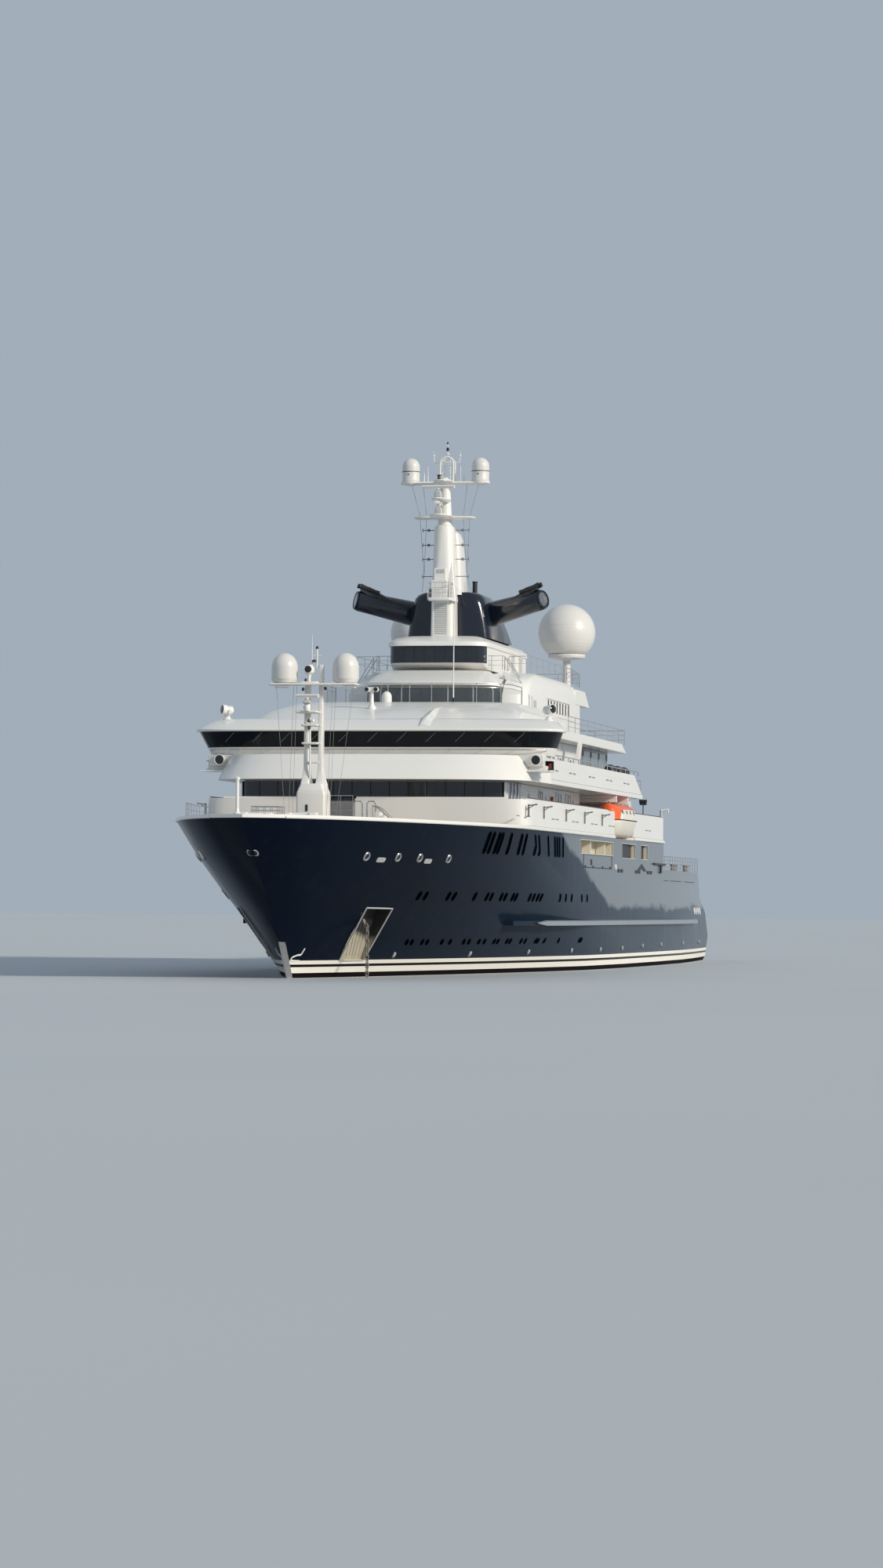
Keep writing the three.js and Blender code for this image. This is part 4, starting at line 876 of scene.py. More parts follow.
# %% [markdown]
# The side bays are open to the weather. Inside them stand mooring posts and the uprights that divide
# the openings, with black blocks in two bays as painted shade; a bright coaming runs round each opening.
# %% Side bays
BAY_OPENINGS = (  # x from and to, z from and to
    (-1.3, 12.6, 7.95, 8.9), (-11.4, -5.2, 7.85, 8.9), (-17.3, -13.9, 7.85, 8.9),
)
coaming, bay_posts, bay_shade = Shape(), Shape(), Shape()
for side in (1, -1):
    for xa, xb, za, zb in BAY_OPENINGS:
        coaming.frame((xa, xb), side * 10.505, (za, zb), 0.05, 0.05)
    for x in (11.2, 6.4, 0.4):
        bay_posts.box((x - 0.16, x + 0.16), (side * 9.62, side * 10.2), (7.96, 8.89))
    # Painted shade: black blocks deep in two of the bays stand for the shade inside them.
    for xa, xb in ((-11.3, -7.4), (-17.2, -15.6)):
        bay_shade.box((xa, xb), (side * 9.5, side * 10.2), (7.87, 8.88))
    for x in (-6.3, -14.6):
        bay_posts.turned([(0.2, 0), (0.2, 0.06), (0.11, 0.1), (0.11, 0.5), (0.2, 0.54),
                          (0.2, 0.62), (0, 0.66)],
                         (x, side * 9.95, 7.86), sides=16)
piece("bay_coamings", coaming, pale)
piece("bay_posts", bay_posts, cream, edges=0.02)
piece("bay_shade_blocks", bay_shade, black, edges=0.03)

# %% [markdown]
# Rails are the yacht's handwriting: thin bright stanchions with two or three bars, on every open deck
# edge. One function plants posts along a path at even steps and strings the bars between them.
# %% Rail maker
def along_path(path, spacing):
    """Points at even steps along a path, with its two ends."""
    path = [Vector(p) for p in path]
    spots = [path[0]]
    for a, b in zip(path, path[1:]):
        steps = max(1, round((b - a).length / spacing))
        spots += [a.lerp(b, k / steps) for k in range(1, steps + 1)]
    return spots


def railing(shape, path, height, bars, spacing, radius=0.022):
    spots = along_path(path, spacing)
    for spot in spots:
        shape.tube([spot, spot + Vector((0, 0, height))], radius, 6)
    for k in range(1, bars + 1):
        lift = Vector((0, 0, height * k / bars))
        size = radius * (1.25 if k == bars else 0.75)
        shape.tube([s + lift for s in spots], size, 6)


def deck_edge(target, x_places, side, inset, z_ray, z_foot):
    """A path along a deck's edge, found from the side and drawn in by inset."""
    path = []
    for x in x_places:
        point, _ = from_side(target, x, z_ray, side)
        if point:
            path.append((x, point.y - side * inset, z_foot))
    return path


Z_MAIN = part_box("main_deck")[1].z / SHIP
Z_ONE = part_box("bulwark_one_port")[1].z / SHIP
Z_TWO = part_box("brow_two")[1].z / SHIP
Z_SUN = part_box("sun_cowl")[1].z / SHIP
Z_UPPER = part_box("sun_house")[1].z / SHIP
Z_AFTER, Z_SALOON, Z_BOAT, Z_BAR = 7.2, 12.6, 16.35, 17.75  # after deck, second tier, third tier, sun deck
print("decks at", [round(z, 2) for z in (Z_MAIN, Z_ONE, Z_TWO, Z_SUN, Z_UPPER)])

# %% [markdown]
# A half-round moulding covers the joint between the blue hull and the white deck edge, and a smaller one
# caps the bulwarks. Both are tubes laid along the edge that the rays find.
# %% Mouldings
main_deck = surface("main_deck")
mouldings, wood_caps = Shape(), Shape()
SHEER = [-25.2, -20, -12, -4, 4, 12, 18, 24, 28, 32, 36, 40, 44, 48, 51, 54, 56.5,
         58.5, 60, 61.2, 62.2, 63]
for word, side in SIDES:
    mouldings.tube(deck_edge(main_deck, SHEER, side, 0.0, 9.3, 9.27), 0.085, 8)
    for name, ends in (("bulwark_one", (-2.3, 31.4)), ("bulwark_aft", (-25.2, -11.2))):
        wall = surface(f"{name}_{word}")
        places = [ends[0] + (ends[1] - ends[0]) * k / 12 for k in range(13)]
        mouldings.tube(deck_edge(wall, places, side, 0.11, 10.2, Z_ONE - 0.03), 0.12, 8)
        wood_caps.tube(deck_edge(wall, places, side, 0.09, 10.2, Z_ONE + 0.07), 0.06, 8)
front_wall = surface("bulwark_one_port", "bulwark_one_stbd")
for span in ((-0.5, 9.2), (-9.2, -3.3)):
    path = []
    for k in range(15):
        y = span[0] + (span[1] - span[0]) * k / 14
        point, _ = from_ahead(front_wall, y, 10.6)
        if point:
            path.append((point.x - 0.11, y, Z_ONE))
    mouldings.tube(path, 0.12, 8)
piece("sheer_and_cap_mouldings", mouldings, white, crease=60)
cap_teak = plain_finish("oiled_teak_cap", (0.050, 0.026, 0.014, 1),
                        (0.085, 0.045, 0.024, 1), (0.3, 0.5), 3.0, stretch=(0.3, 4, 4))
piece("bulwark_wood_caps", wood_caps, cap_teak)

# %% [markdown]
# The outer side of the first bulwark carries folding fender arms and long drain slots in pairs; the
# second bulwark has drain slots only. A floodlight on a thin post lights the after deck on each side.
# %% Bulwark gear
ARMS = (31.98, 26.48, 18.07, 10.75, 3.45)
DRAINS_ONE = (32.3, 22.0, 14.2, 6.55, -0.96, -17.8)
DRAINS_TWO = (22.3, 15.5, 7.7, 0.3, -7.4)
arms, drains, floods = Shape(), Shape(), Shape()
for word, side in SIDES:
    one = surface(f"bulwark_one_{word}", f"bulwark_aft_{word}")
    two = surface(f"bulwark_two_{word}")
    # The arms are satin grey rather than white, a colour that also stands for the shade on them: part
    # painted shade.
    for x in ARMS:
        point, _ = from_side(one, min(x, 30), 10.4, side)
        y = point.y + side * 0.05
        arms.bar((x, y, 9.98), (x, y, 10.78), 0.12, 0.08)
        arms.bar((x, y, 10.7), (x, y + side * 0.55, 10.76), 0.08, 0.08)
        arms.bar((x, y, 10.5), (x, y + side * 0.3, 10.7), 0.05, 0.05)
        arms.tube([(x - 0.3, y + side * 0.5, 10.78), (x + 0.3, y + side * 0.5, 10.78)], 0.04, 6)
    # Painted shade: each drain slot is a thin grey sheet on the wall, for the shade in the opening.
    for x in DRAINS_ONE:
        for shift in (-0.75, 0.75):
            point, _ = from_side(one, min(x, 31.5) + shift * 0.9, 10.03, side)
            if point:
                drains.box((x + shift - 0.55, x + shift + 0.55),
                           (point.y, point.y + side * 0.012), (10.0, 10.07))
    for x in DRAINS_TWO:
        for shift in (-0.75, 0.75):
            point, _ = from_side(two, x + shift, 13.2, side)
            drains.box((x + shift - 0.5, x + shift + 0.5),
                       (point.y, point.y + side * 0.012), (13.18, 13.27))
    y = side * 9.0
    floods.loft([corner_ring((-24.8 + d, -24.4), (y - w, y + w), z)
                 for d, w, z in ((0, 0.24, 12.1), (0.1, 0.3, 12.5))])
    floods.tube([(-24.6, y, 9.42), (-24.6, y, 12.15)], 0.04, 8)
piece("after_floodlights", floods, black, edges=0.01)
piece("fender_arms", arms, grey, edges=0.01)
piece("bulwark_drain_shade", drains, grey)

# %% [markdown]
# Behind the first bulwark runs a side deck. The house wall there has framed windows, three doors with
# rounded panels, grab rails and lamps. Round the front, thin bars divide the long window band.
# %% First tier walls
band = surface("window_band_one")
GLASS_ONE, WALL_ONE = 8.56, 8.5  # from the centreline to the window band and to the wall
bars_one, frames_one, glass_one, doors_one, lockers = (Shape() for _ in range(5))
for k in range(-6, 7):
    y = k * 1.22
    point, _ = from_ahead(band, y, 11.6)
    bars_one.box((point.x - 0.02, point.x + 0.025), (y - 0.03, y + 0.03), (11.02, 12.22))
for side in (1, -1):
    y = side * GLASS_ONE
    out = (y, y + side * 0.05)
    for x in (28.95, 30.0):
        frames_one.box((x - 0.12, x + 0.12), out, (11.0, 12.24))
    frames_one.box((28.95, 30.0), (y, y + side * 0.03), (11.0, 12.24))
    for x in (27.63, 26.5, 25.3):
        frames_one.box((x - 0.09, x + 0.09), out, (11.0, 12.24))
    y = side * WALL_ONE
    for xa, xb in ((8.74, 10.74), (5.03, 6.9), (16.0, 17.4), (-20.6, -18.4), (-16.6, -13.6)):
        glass_one.box((xa + 0.08, xb - 0.08), (y, y + side * 0.02), (10.0, 12.0))
        frames_one.frame((xa, xb), y + side * 0.02, (9.95, 12.05), 0.06, 0.09)
        middle = (xa + xb) / 2
        frames_one.bar((middle, y + side * 0.02, 9.95), (middle, y + side * 0.02, 12.05), 0.06, 0.09)
    for x in (20.6, 14.2, 3.4):
        doors_one.box((x - 0.5, x + 0.5), (y, y + side * 0.05), (9.55, 11.75))
        doors_one.box((x - 0.36, x + 0.36), (y, y + side * 0.07), (10.75, 11.5))
        doors_one.bar((x + 0.3, y + side * 0.1, 10.3), (x + 0.3, y + side * 0.1, 10.7), 0.03, 0.03)
    frames_one.tube([(21.6, y + side * 0.1, 10.55), (11.4, y + side * 0.1, 10.55)], 0.03, 6)
    frames_one.box((11.2, 21.6), (y, y + side * 0.02), (11.88, 11.94))
    lockers.box((12.45, 12.7), (y, y + side * 0.16), (11.2, 11.75))
    lockers.turned([(0.1, 0), (0.1, 0.5), (0.05, 0.6), (0, 0.62)],
                   (13.4, y + side * 0.12, 10.9), sides=12)
piece("window_bars_one", bars_one, black)
piece("wall_frames_one", frames_one, white, edges=0.01)
piece("side_windows_one", glass_one, dark_glass)
piece("side_doors_one", doors_one, white, edges=0.02)
piece("extinguisher_boxes", lockers, red, edges=0.03)

# %% [markdown]
# The foredeck is kept clear, because the mooring gear works through the leads one deck below. It has a
# gate in the first bulwark, steps with handrails, a fenced hatch and a plain rail on the starboard edge.
# %% Foredeck gear
rails, foregear = Shape(), Shape()
railing(rails, deck_edge(main_deck, (32.5, 35, 38, 41, 44), -1, 0.35, 9.3, Z_MAIN), 1.1, 3, 1.4)
railing(rails, [(32.7, -3.1, Z_MAIN), (32.7, -0.7, Z_MAIN)], 1.85, 4, 0.8)
for x, y in ((34.2, -0.1), (34.2, 0.75)):
    rails.tube([(x, y - 0.2, Z_MAIN), (x, y - 0.2, 10.7), (x, y - 0.1, 10.88), (x, y + 0.25, 10.88),
                (x, y + 0.35, 10.7), (x, y + 0.35, Z_MAIN)], 0.045, 8)
for x in (33.6, 34.6):
    rails.tube([(x, 1.0, 10.6), (x, 1.35, 10.45), (x, 2.2, 9.7), (x, 2.45, Z_MAIN)], 0.04, 8)
    rails.tube([(x, 1.0, Z_MAIN), (x, 1.0, 10.6)], 0.035, 8)
for k in range(4):
    foregear.box((33.6, 34.6), (1.15 + k * 0.3, 1.45 + k * 0.3), (Z_MAIN, 10.2 - k * 0.22))
hatch = corner_ring((51.6, 52.9), (-2.3, -0.6), Z_MAIN)
railing(rails, hatch[:1] + hatch[::-1], 0.68, 3, 0.4)
foregear.box((51.8, 52.7), (-2.1, -0.8), (Z_MAIN, Z_MAIN + 0.25))
foregear.box((53.0, 53.9), (0.6, 1.5), (Z_MAIN, Z_MAIN + 0.3))
piece("foredeck_rails", rails, steel)
piece("foredeck_steps_and_hatches", foregear, white, edges=0.03)
staff_cap = Shape()
staff_cap.turned([(0.11, -0.12), (0.15, -0.06), (0.15, 0.03), (0.08, 0.08), (0, 0.09)],
                 (63.2, -0.55, 11.45), sides=16)
staff_cap.turned([(0.22, 0), (0.22, 0.05), (0.14, 0.12), (0.1, 0.3)], (63.2, -0.55, Z_MAIN), sides=16)
piece("jackstaff_fittings", staff_cap, white)

# %% [markdown]
# The foremast's two white legs carry rungs, a radar shelf, horns, a gyro camera and two dome aerials on
# a cross beam, held by thin stays. Its solid is faceted, so the mast is built again here from rings with
# round corners, and the domes are turned afresh.
# %% Foremast
def soft_ring(x, y, z, half_x, half_y, r, steps=4):
    """A level rectangle with round corners."""
    ring = []
    for sx, sy, start in ((1, 1, 0), (-1, 1, 1), (-1, -1, 2), (1, -1, 3)):
        for k in range(steps + 1):
            t = math.pi / 2 * (start + k / steps)
            ring.append((x + sx * (half_x - r) + r * math.cos(t),
                         y + sy * (half_y - r) + r * math.sin(t), z))
    return ring


def dome_profile(r, h):
    """A dome aerial: skirt, straight wall and a rounded cap, as (radius, height)."""
    wall = [(r * 0.9, 0), (r * 0.93, h * 0.05), (r * 0.99, h * 0.08), (r, h * 0.11), (r, h * 0.5)]
    cap = [(r * math.cos(t), h * 0.5 + h * 0.5 * math.sin(t)) for t in angles(64, 1, 16)]
    return wall + cap + [(0, h)]


fore_mast, fore_domes, fore_gear, fore_dark, stays = (Shape() for _ in range(5))
for side in (1, -1):
    at = (46.5, side * 1.89, 17.74)
    fore_domes.turned(dome_profile(0.8, 1.78), at, sides=40)
    fore_domes.turned([(0.784, 0.21), (0.814, 0.215), (0.814, 0.265), (0.784, 0.27)], at, sides=40)
    fore_gear.turned([(0.5, -0.16), (0.6, -0.1), (0.62, 0.02), (0, 0.04)], at, sides=24)
for z, ya, yb in ((16.9, -1.05, 0.3), (15.14, -0.75, 0.4), (14.05, -0.72, 0.4), (12.9, -0.4, 0.3)):
    fore_gear.tube([(46.75, ya, z), (46.75, yb, z)], 0.06, 8)
fore_gear.tube([(46.85, -0.2, 11.9), (46.85, -0.2, 15.8)], 0.055, 8)
FORE_LAMPS = (  # y, height
    (0.0, 15.32), (-0.26, 15.3), (-0.22, 14.88), (-0.5, 16.1), (-0.62, 17.2), (-0.46, 17.75),
    (0.75, 17.25),
)
for y, z in FORE_LAMPS:
    shell = fore_dark if y else fore_gear
    shell.turned([(0.05, 0), (0.085, 0.03), (0.085, 0.15), (0.05, 0.2), (0, 0.21)],
                 (47.0, y, z), sides=14)
    fore_gear.tube([(46.8, y, z + 0.05), (47.0, y, z + 0.05)], 0.03, 6)
foot = ((9.42, 0.86, 0.88), (10.95, 0.86, 0.88), (11.12, 0.85, 0.85), (11.3, 0.8, 0.78),
        (11.5, 0.72, 0.7), (11.62, 0.68, 0.66))
fore_mast.loft([soft_ring(46.45, -0.05, z, a, b, 0.12) for z, a, b in foot])
for top, inner, outer, flare in ((17.65, -0.3, -0.62, -0.12), (18.8, 0.26, 0.52, 0.16)):
    leg = []
    heights = ((11.3, 1.3, 0.66), (11.62, 1.0, 0.6), (11.9, 0.55, 0.5), (12.2, 0.2, 0.4),
               (12.6, 0.0, 0.32), (top, 0.0, 0.2))
    for z, spread, deep in heights:
        a, b = inner - flare * spread * 0.6, outer + flare * spread
        leg.append(soft_ring(46.4, (a + b) / 2, z, deep, abs(b - a) / 2, 0.05))
    fore_mast.loft(leg)
FORE_SHELVES = (  # height, y from and to, half of its reach forward
    (17.6, -2.72, 2.72, 0.5), (17.7, -0.8, 0.3, 0.4), (15.92, -0.95, 0.4, 0.75),
    (15.14, -0.75, 0.3, 0.3), (14.05, -0.72, 0.3, 0.3),
)
for z, ya, yb, wide in FORE_SHELVES:
    middle, half = (ya + yb) / 2, (yb - ya) / 2
    fore_mast.loft([soft_ring(46.55 + wide * 0.5, middle, z + dz, wide - cut, half - cut, 0.12)
                    for dz, cut in ((-0.07, 0.05), (-0.03, 0), (0.04, 0), (0.07, 0.04))])
fore_mast.turned([(0.18, -0.03), (0.2, 0.05), (0.2, 0.3), (0.14, 0.42), (0.09, 0.5), (0.09, 0.72)],
                 (47.65, -0.2, 15.98), sides=24)
fore_gear.tube([(46.5, -0.2, 18.9), (46.5, -0.2, 20.65)], [0.035, 0.012], 6)
fore_gear.tube([(46.5, 0.11, 18.6), (46.5, 0.11, 19.75)], 0.05, 8)
fore_gear.tube([(46.5, -0.2, 19.35), (46.5, 0.35, 19.35)], 0.035, 6)
fore_dark.turned([(0, 0), (0.08, 0.02), (0.08, 0.16), (0, 0.18)], (46.5, 0.11, 19.75), sides=12)
fore_gear.turned([(0.2, -1.0), (0.2, -0.92), (0.09, -0.86), (0.1, -0.45), (0.14, -0.3), (0.3, -0.18),
                  (0.33, 0), (0.3, 0.16), (0.18, 0.28), (0, 0.31)], (46.6, -0.35, 18.5), sides=28)
fore_gear.tube([(46.5, -0.35, 17.6), (46.5, -0.2, 18.9)], 0.04, 6)
fore_gear.tube([(46.5, 0.4, 18.6), (46.5, 0.11, 18.75)], 0.05, 6)
fore_dark.turned([(0.1, 0), (0.13, 0.04), (0.13, 0.12), (0.06, 0.16)], (46.6, -0.05, 18.95), sides=12)
fore_dark.turned([(0.21, 0), (0.21, 0.1), (0.17, 0.12), (0, 0.13)], (46.82, -0.35, 18.52), (1, 0, 0), 24)
fore_dark.box((47.31, 47.34), (-0.34, -0.2), (9.95, 10.35))
for top_y, foot_y in ((-1.32, -1.38), (-1.12, -1.14), (1.1, 0.95), (1.3, 1.15), (-2.4, -1.6), (2.4, 1.5)):
    stays.tube([(46.5, top_y, 17.6), (47.3, foot_y, Z_MAIN + 0.02)], 0.009, 5)
for y in (-2.6, 2.6):
    fore_gear.turned([(0.45, 0), (0.45, 0.05), (0, 0.06)], (46.5, y * 0.8, 17.4), sides=20)
whole_foremast = piece("foremast_posts", fore_mast, white, edges=0.012, crease=40)
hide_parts("foremast")
piece("foremast_domes", fore_domes, radome, crease=40)
piece("foremast_gear", fore_gear, white, edges=0.006)
piece("foremast_lamps", fore_dark, black)
piece("foremast_stays", stays, grey)

# %% [markdown]
# The bridge is a long band of raked glass. A handrail runs round under it for washing the panes, each
# pane has a wiper, and two helm chairs stand behind the console. Lamps look forward from the wings, with
# the red and green side lights in black boxes beside them.
# %% Bridge front
bridge_wall = surface("wheelhouse_wall")
bridge_glass_face = surface("wheelhouse_glass")
bridge_rail, wipers, chairs = Shape(), Shape(), Shape()
path = []
for k in range(45):
    y = -11.0 + k * 0.5
    point, _ = from_ahead(bridge_wall, y, 14.2)
    path.append(Vector((point.x + 0.32, y, 14.3)))
bridge_rail.tube(path, 0.04, 8)
for at in path[::4]:
    bridge_rail.tube([at, at - Vector((0.34, 0, 0.06))], 0.025, 6)
    bridge_rail.box((at.x - 0.05, at.x + 0.03), (at.y - 0.02, at.y + 0.02), (14.22, 14.34))
for k in range(-5, 6):
    y = k * 1.9
    high, _ = from_ahead(bridge_glass_face, y + 0.35, 15.4)
    low, _ = from_ahead(bridge_glass_face, y - 0.35, 14.8)
    out = Vector((0.05, 0, -0.01))
    wipers.tube([high + out, low + out], 0.015, 5)
for y in (-1.4, 1.4):
    chairs.turned([(0.28, 0), (0.28, 0.04), (0.06, 0.08), (0.06, 0.55), (0.2, 0.6)],
                  (26.4, y, 13.95), sides=16)
    seat, back = ((0.22, 14.52), (0.28, 14.6), (0.26, 14.7)), ((0.25, 0), (0.27, 0.3), (0.2, 0.62))
    chairs.loft([corner_ring((26.15, 26.65), (y - w, y + w), z) for w, z in seat])
    chairs.loft([corner_ring((26.1 - t * 0.12, 26.22 - t * 0.12), (y - w, y + w), 14.68 + t)
                 for w, t in back])
piece("bridge_handrail", bridge_rail, steel)
piece("bridge_wipers", wipers, grey)
piece("helm_chairs", chairs, black, edges=0.03)

# %% [markdown]
# A ship's lamp is a turned drum: a domed back, a few cooling ribs, a rolled rim and a recessed lens. The
# same drum serves for the wing lamps and the searchlights, with or without a yoke under it.
# %% Wing lamps and side lights
lens_glass = glass("lamp_lens", (0.002, 0.004, 0.004, 1), 1.0)


def lamp(shell, lens, at, along, r, long):
    at, along = Vector(at), Vector(along).normalized()
    back = at - along * long / 2
    shell.turned([(0, 0), (r * 0.6, 0.02), (r * 0.86, long * 0.12), (r * 0.9, long * 0.2),
                  (r * 0.9, long * 0.62), (r, long * 0.66), (r * 1.03, long * 0.95), (r, long),
                  (r * 0.9, long), (r * 0.88, long * 0.86)], back, along, 28)
    for k in (0.28, 0.38, 0.48):
        shell.turned([(r * 0.88, long * k), (r * 0.96, long * k + 0.01), (r * 0.96, long * k + 0.03),
                      (r * 0.88, long * k + 0.04)], back, along, 28)
    lens.turned([(r * 0.9, long * 0.86), (r * 0.7, long * 0.93), (r * 0.35, long * 0.97),
                 (0, long * 0.98)], back, along, 28)


lamp_shells, lamp_lenses, light_boxes, red_lens, green_lens = (Shape() for _ in range(5))
wing = surface("wing_box_port", "wing_box_stbd")
for side, y in ((1, 10.53), (-1, -10.2)):
    face, _ = from_ahead(wing, y, 13.6)
    lamp(lamp_shells, lamp_lenses, (face.x + 0.1, y, 13.64), (1, 0, 0), 0.33, 0.4)
    wall, _ = from_side(wing, 28.3, 13.4, side)
    box_y = (wall.y - side * 0.1, wall.y + side * 0.42)
    for z in (13.08, 13.62):
        light_boxes.box((27.9, 28.62), box_y, (z - 0.03, z))
    light_boxes.box((27.88, 27.94), box_y, (13.05, 13.62))
    light_boxes.box((27.9, 28.62), (wall.y - side * 0.02, wall.y + side * 0.02), (13.05, 13.62))
    lens = red_lens if side > 0 else green_lens
    lens.turned([(0.1, 0), (0.13, 0.03), (0.13, 0.36), (0.1, 0.4), (0, 0.41)],
                (28.25, wall.y + side * 0.2, 13.1), sides=20)
    lamp_shells.box((27.4, 29.9), (wall.y - side * 1.6, wall.y + side * 0.5), (12.9, 12.96))
piece("wing_lamps", lamp_shells, white)
piece("wing_lamp_lenses", lamp_lenses, lens_glass)
piece("side_light_boxes", light_boxes, black)
red_lamp = plain_finish("red_lamp_glass", (0.10, 0.003, 0.003, 1), (0.14, 0.006, 0.005, 1),
                        (0.1, 0.2), 3.0, coat=0.4)
green_lamp = plain_finish("green_lamp_glass", (0.002, 0.06, 0.03, 1), (0.004, 0.08, 0.04, 1),
                          (0.1, 0.2), 3.0, coat=0.4)
piece("port_side_light", red_lens, red_lamp)
piece("starboard_side_light", green_lens, green_lamp)

# %% [markdown]
# On the bridge roof stand two searchlights, a twin camera on its post, a small dome and a tall whip
# aerial, and a long low ridge that sheds spray. All of them stand on the curved cowl, so a ray from
# above gives the height of each foot.
# %% Bridge roof gear
roof = surface("wheelhouse_roof", "sun_cowl")
roof_gear, roof_lens, roof_dark, ridge = Shape(), Shape(), Shape(), Shape()
for side, y in ((1, 10.87), (-1, -10.4)):
    foot, _ = from_above(roof, 27, y)
    aim = Vector((0.6, side * 0.8, 0.08)).normalized()
    across = aim.cross((0, 0, 1)).normalized()
    middle = Vector((27, y, 16.98))
    roof_gear.turned([(0.3, -0.05), (0.3, 0.05), (0.2, 0.1), (0.16, 0.2), (0.2, 0.26)], foot, sides=24)
    for s in (-1, 1):
        low = foot + across * s * 0.12 + Vector((0, 0, 0.2))
        roof_gear.tube([low, foot + across * s * 0.36 + Vector((0, 0, 0.3)), middle + across * s * 0.36],
                       0.035, 8)
    lamp(roof_gear, roof_lens, middle, aim, 0.31, 0.78)
foot, _ = from_above(roof, 25, -1.22)
roof_gear.turned([(0.3, -0.05), (0.28, 0.08), (0.14, 0.28), (0.11, 1.0), (0.13, 1.1), (0, 1.12)],
                 foot, sides=20)
head = foot + Vector((0, 0, 1.22))
roof_gear.box((head.x - 0.18, head.x + 0.16), (head.y - 0.2, head.y + 0.2),
              (head.z - 0.12, head.z + 0.16))
for dy in (-0.3, 0.3):
    roof_gear.turned([(0.1, 0), (0.16, 0.06), (0.16, 0.36), (0.13, 0.38)],
                     head + Vector((-0.16, dy, 0.02)), (1, 0, 0), 20)
    roof_dark.turned([(0.14, 0), (0.14, 0.06), (0, 0.08)], head + Vector((0.19, dy, 0.02)), (1, 0, 0), 20)
foot, _ = from_above(roof, 20, -1.31)
roof_gear.turned(dome_profile(0.34, 0.8), foot - Vector((0, 0, 0.02)), sides=28)
foot, _ = from_above(roof, 21, 3.4)
roof_gear.tube([foot, foot + Vector((0, 0, 0.5)), foot + Vector((0, 0, 3.2)), (21, 3.4, 23.7)],
               [0.05, 0.045, 0.035, 0.014], 8)
roof_dark.turned([(0.11, 0), (0.11, 0.06), (0.07, 0.1), (0.08, 0.26), (0.05, 0.3)], foot, sides=16)
rings = []
for k in range(13):
    t = k / 12
    x, y = 30.2 - 6.2 * t, 3.35 - 0.1 * t
    wide, high = 0.9 - 0.8 * t, 0.02 + 0.24 * math.sin(math.pi * min(t + 0.12, 1))
    rings.append([from_above(roof, x, y + dy)[0] + Vector((0, 0, lift))
                  for dy, lift in ((-wide * 0.4, -0.04), (-wide * 0.3, high * 0.8),
                                   (-wide * 0.05, high), (wide * 0.6, -0.04))])
ridge.loft(rings)
piece("roof_gear", roof_gear, white, edges=0.008)
piece("searchlight_lenses", roof_lens, lens_glass)
piece("roof_gear_dark_parts", roof_dark, black)
piece("spray_ridge", ridge, white, crease=28)

# %% [markdown]
# The sun deck's screen is tinted glass between bright stanchions, with a rail on top. Slender posts
# carry the arched canopy. Steps on both sides lead up beside the bar to the upper deck.
# %% Sun deck
screen = surface("sun_screen")
sun_rails, steps_up = Shape(), Shape()
screen_spots = [Vector((x, -6.45, Z_BAR)) for x in (12.7, 14.2)]
for k in range(27):
    y = -6.42 + 12.84 * k / 26
    point, _ = from_ahead(screen, y, 18.3)
    screen_spots.append(Vector((point.x - 0.05, y, Z_BAR)))
screen_spots += [Vector((x, 6.45, Z_BAR)) for x in (14.2, 12.7)]
for spot in screen_spots[::3]:
    sun_rails.tube([spot, spot + Vector((0, 0, 1.38))], 0.035, 8)
for lift, size in ((1.38, 0.035), (1.12, 0.018)):
    sun_rails.tube([s + Vector((0, 0, lift)) for s in screen_spots], size, 8)
shade = surface("canopy")
for side in (1, -1):
    for x, out in ((13.9, 1.6), (13.2, 3.2), (11.8, 4.3), (10.0, 4.45)):
        y = side * out
        top_of, _, _, _ = shade.ray_cast(Vector((x, y, 17.8)), Vector((0, 0, 1)))
        head_z = top_of.z + 0.05 if top_of else 19.5
        sun_rails.tube([(x, y, Z_BAR), (x, y, head_z - 0.4), (x - 0.15, y * 0.97, head_z)], 0.05, 8)
    for k in range(8):
        z = 17.95 + k * 0.32
        y = side * (6.15 - k * 0.2)
        steps_up.box((8.15, 9.05), (y, y - side * 0.3), (z - 0.05, z))
    for x in (8.1, 9.1):
        steps_up.bar((x, side * 6.1, 17.8), (x, side * 4.5, 20.4), 0.05, 0.2)
        sun_rails.tube([(x, side * 6.3, 17.8), (x, side * 6.3, 18.75), (x, side * 4.6, 21.4),
                        (x, side * 4.6, 20.5)], 0.035, 8)
piece("sun_deck_rails", sun_rails, steel)
piece("sun_deck_steps", steps_up, white, edges=0.01)

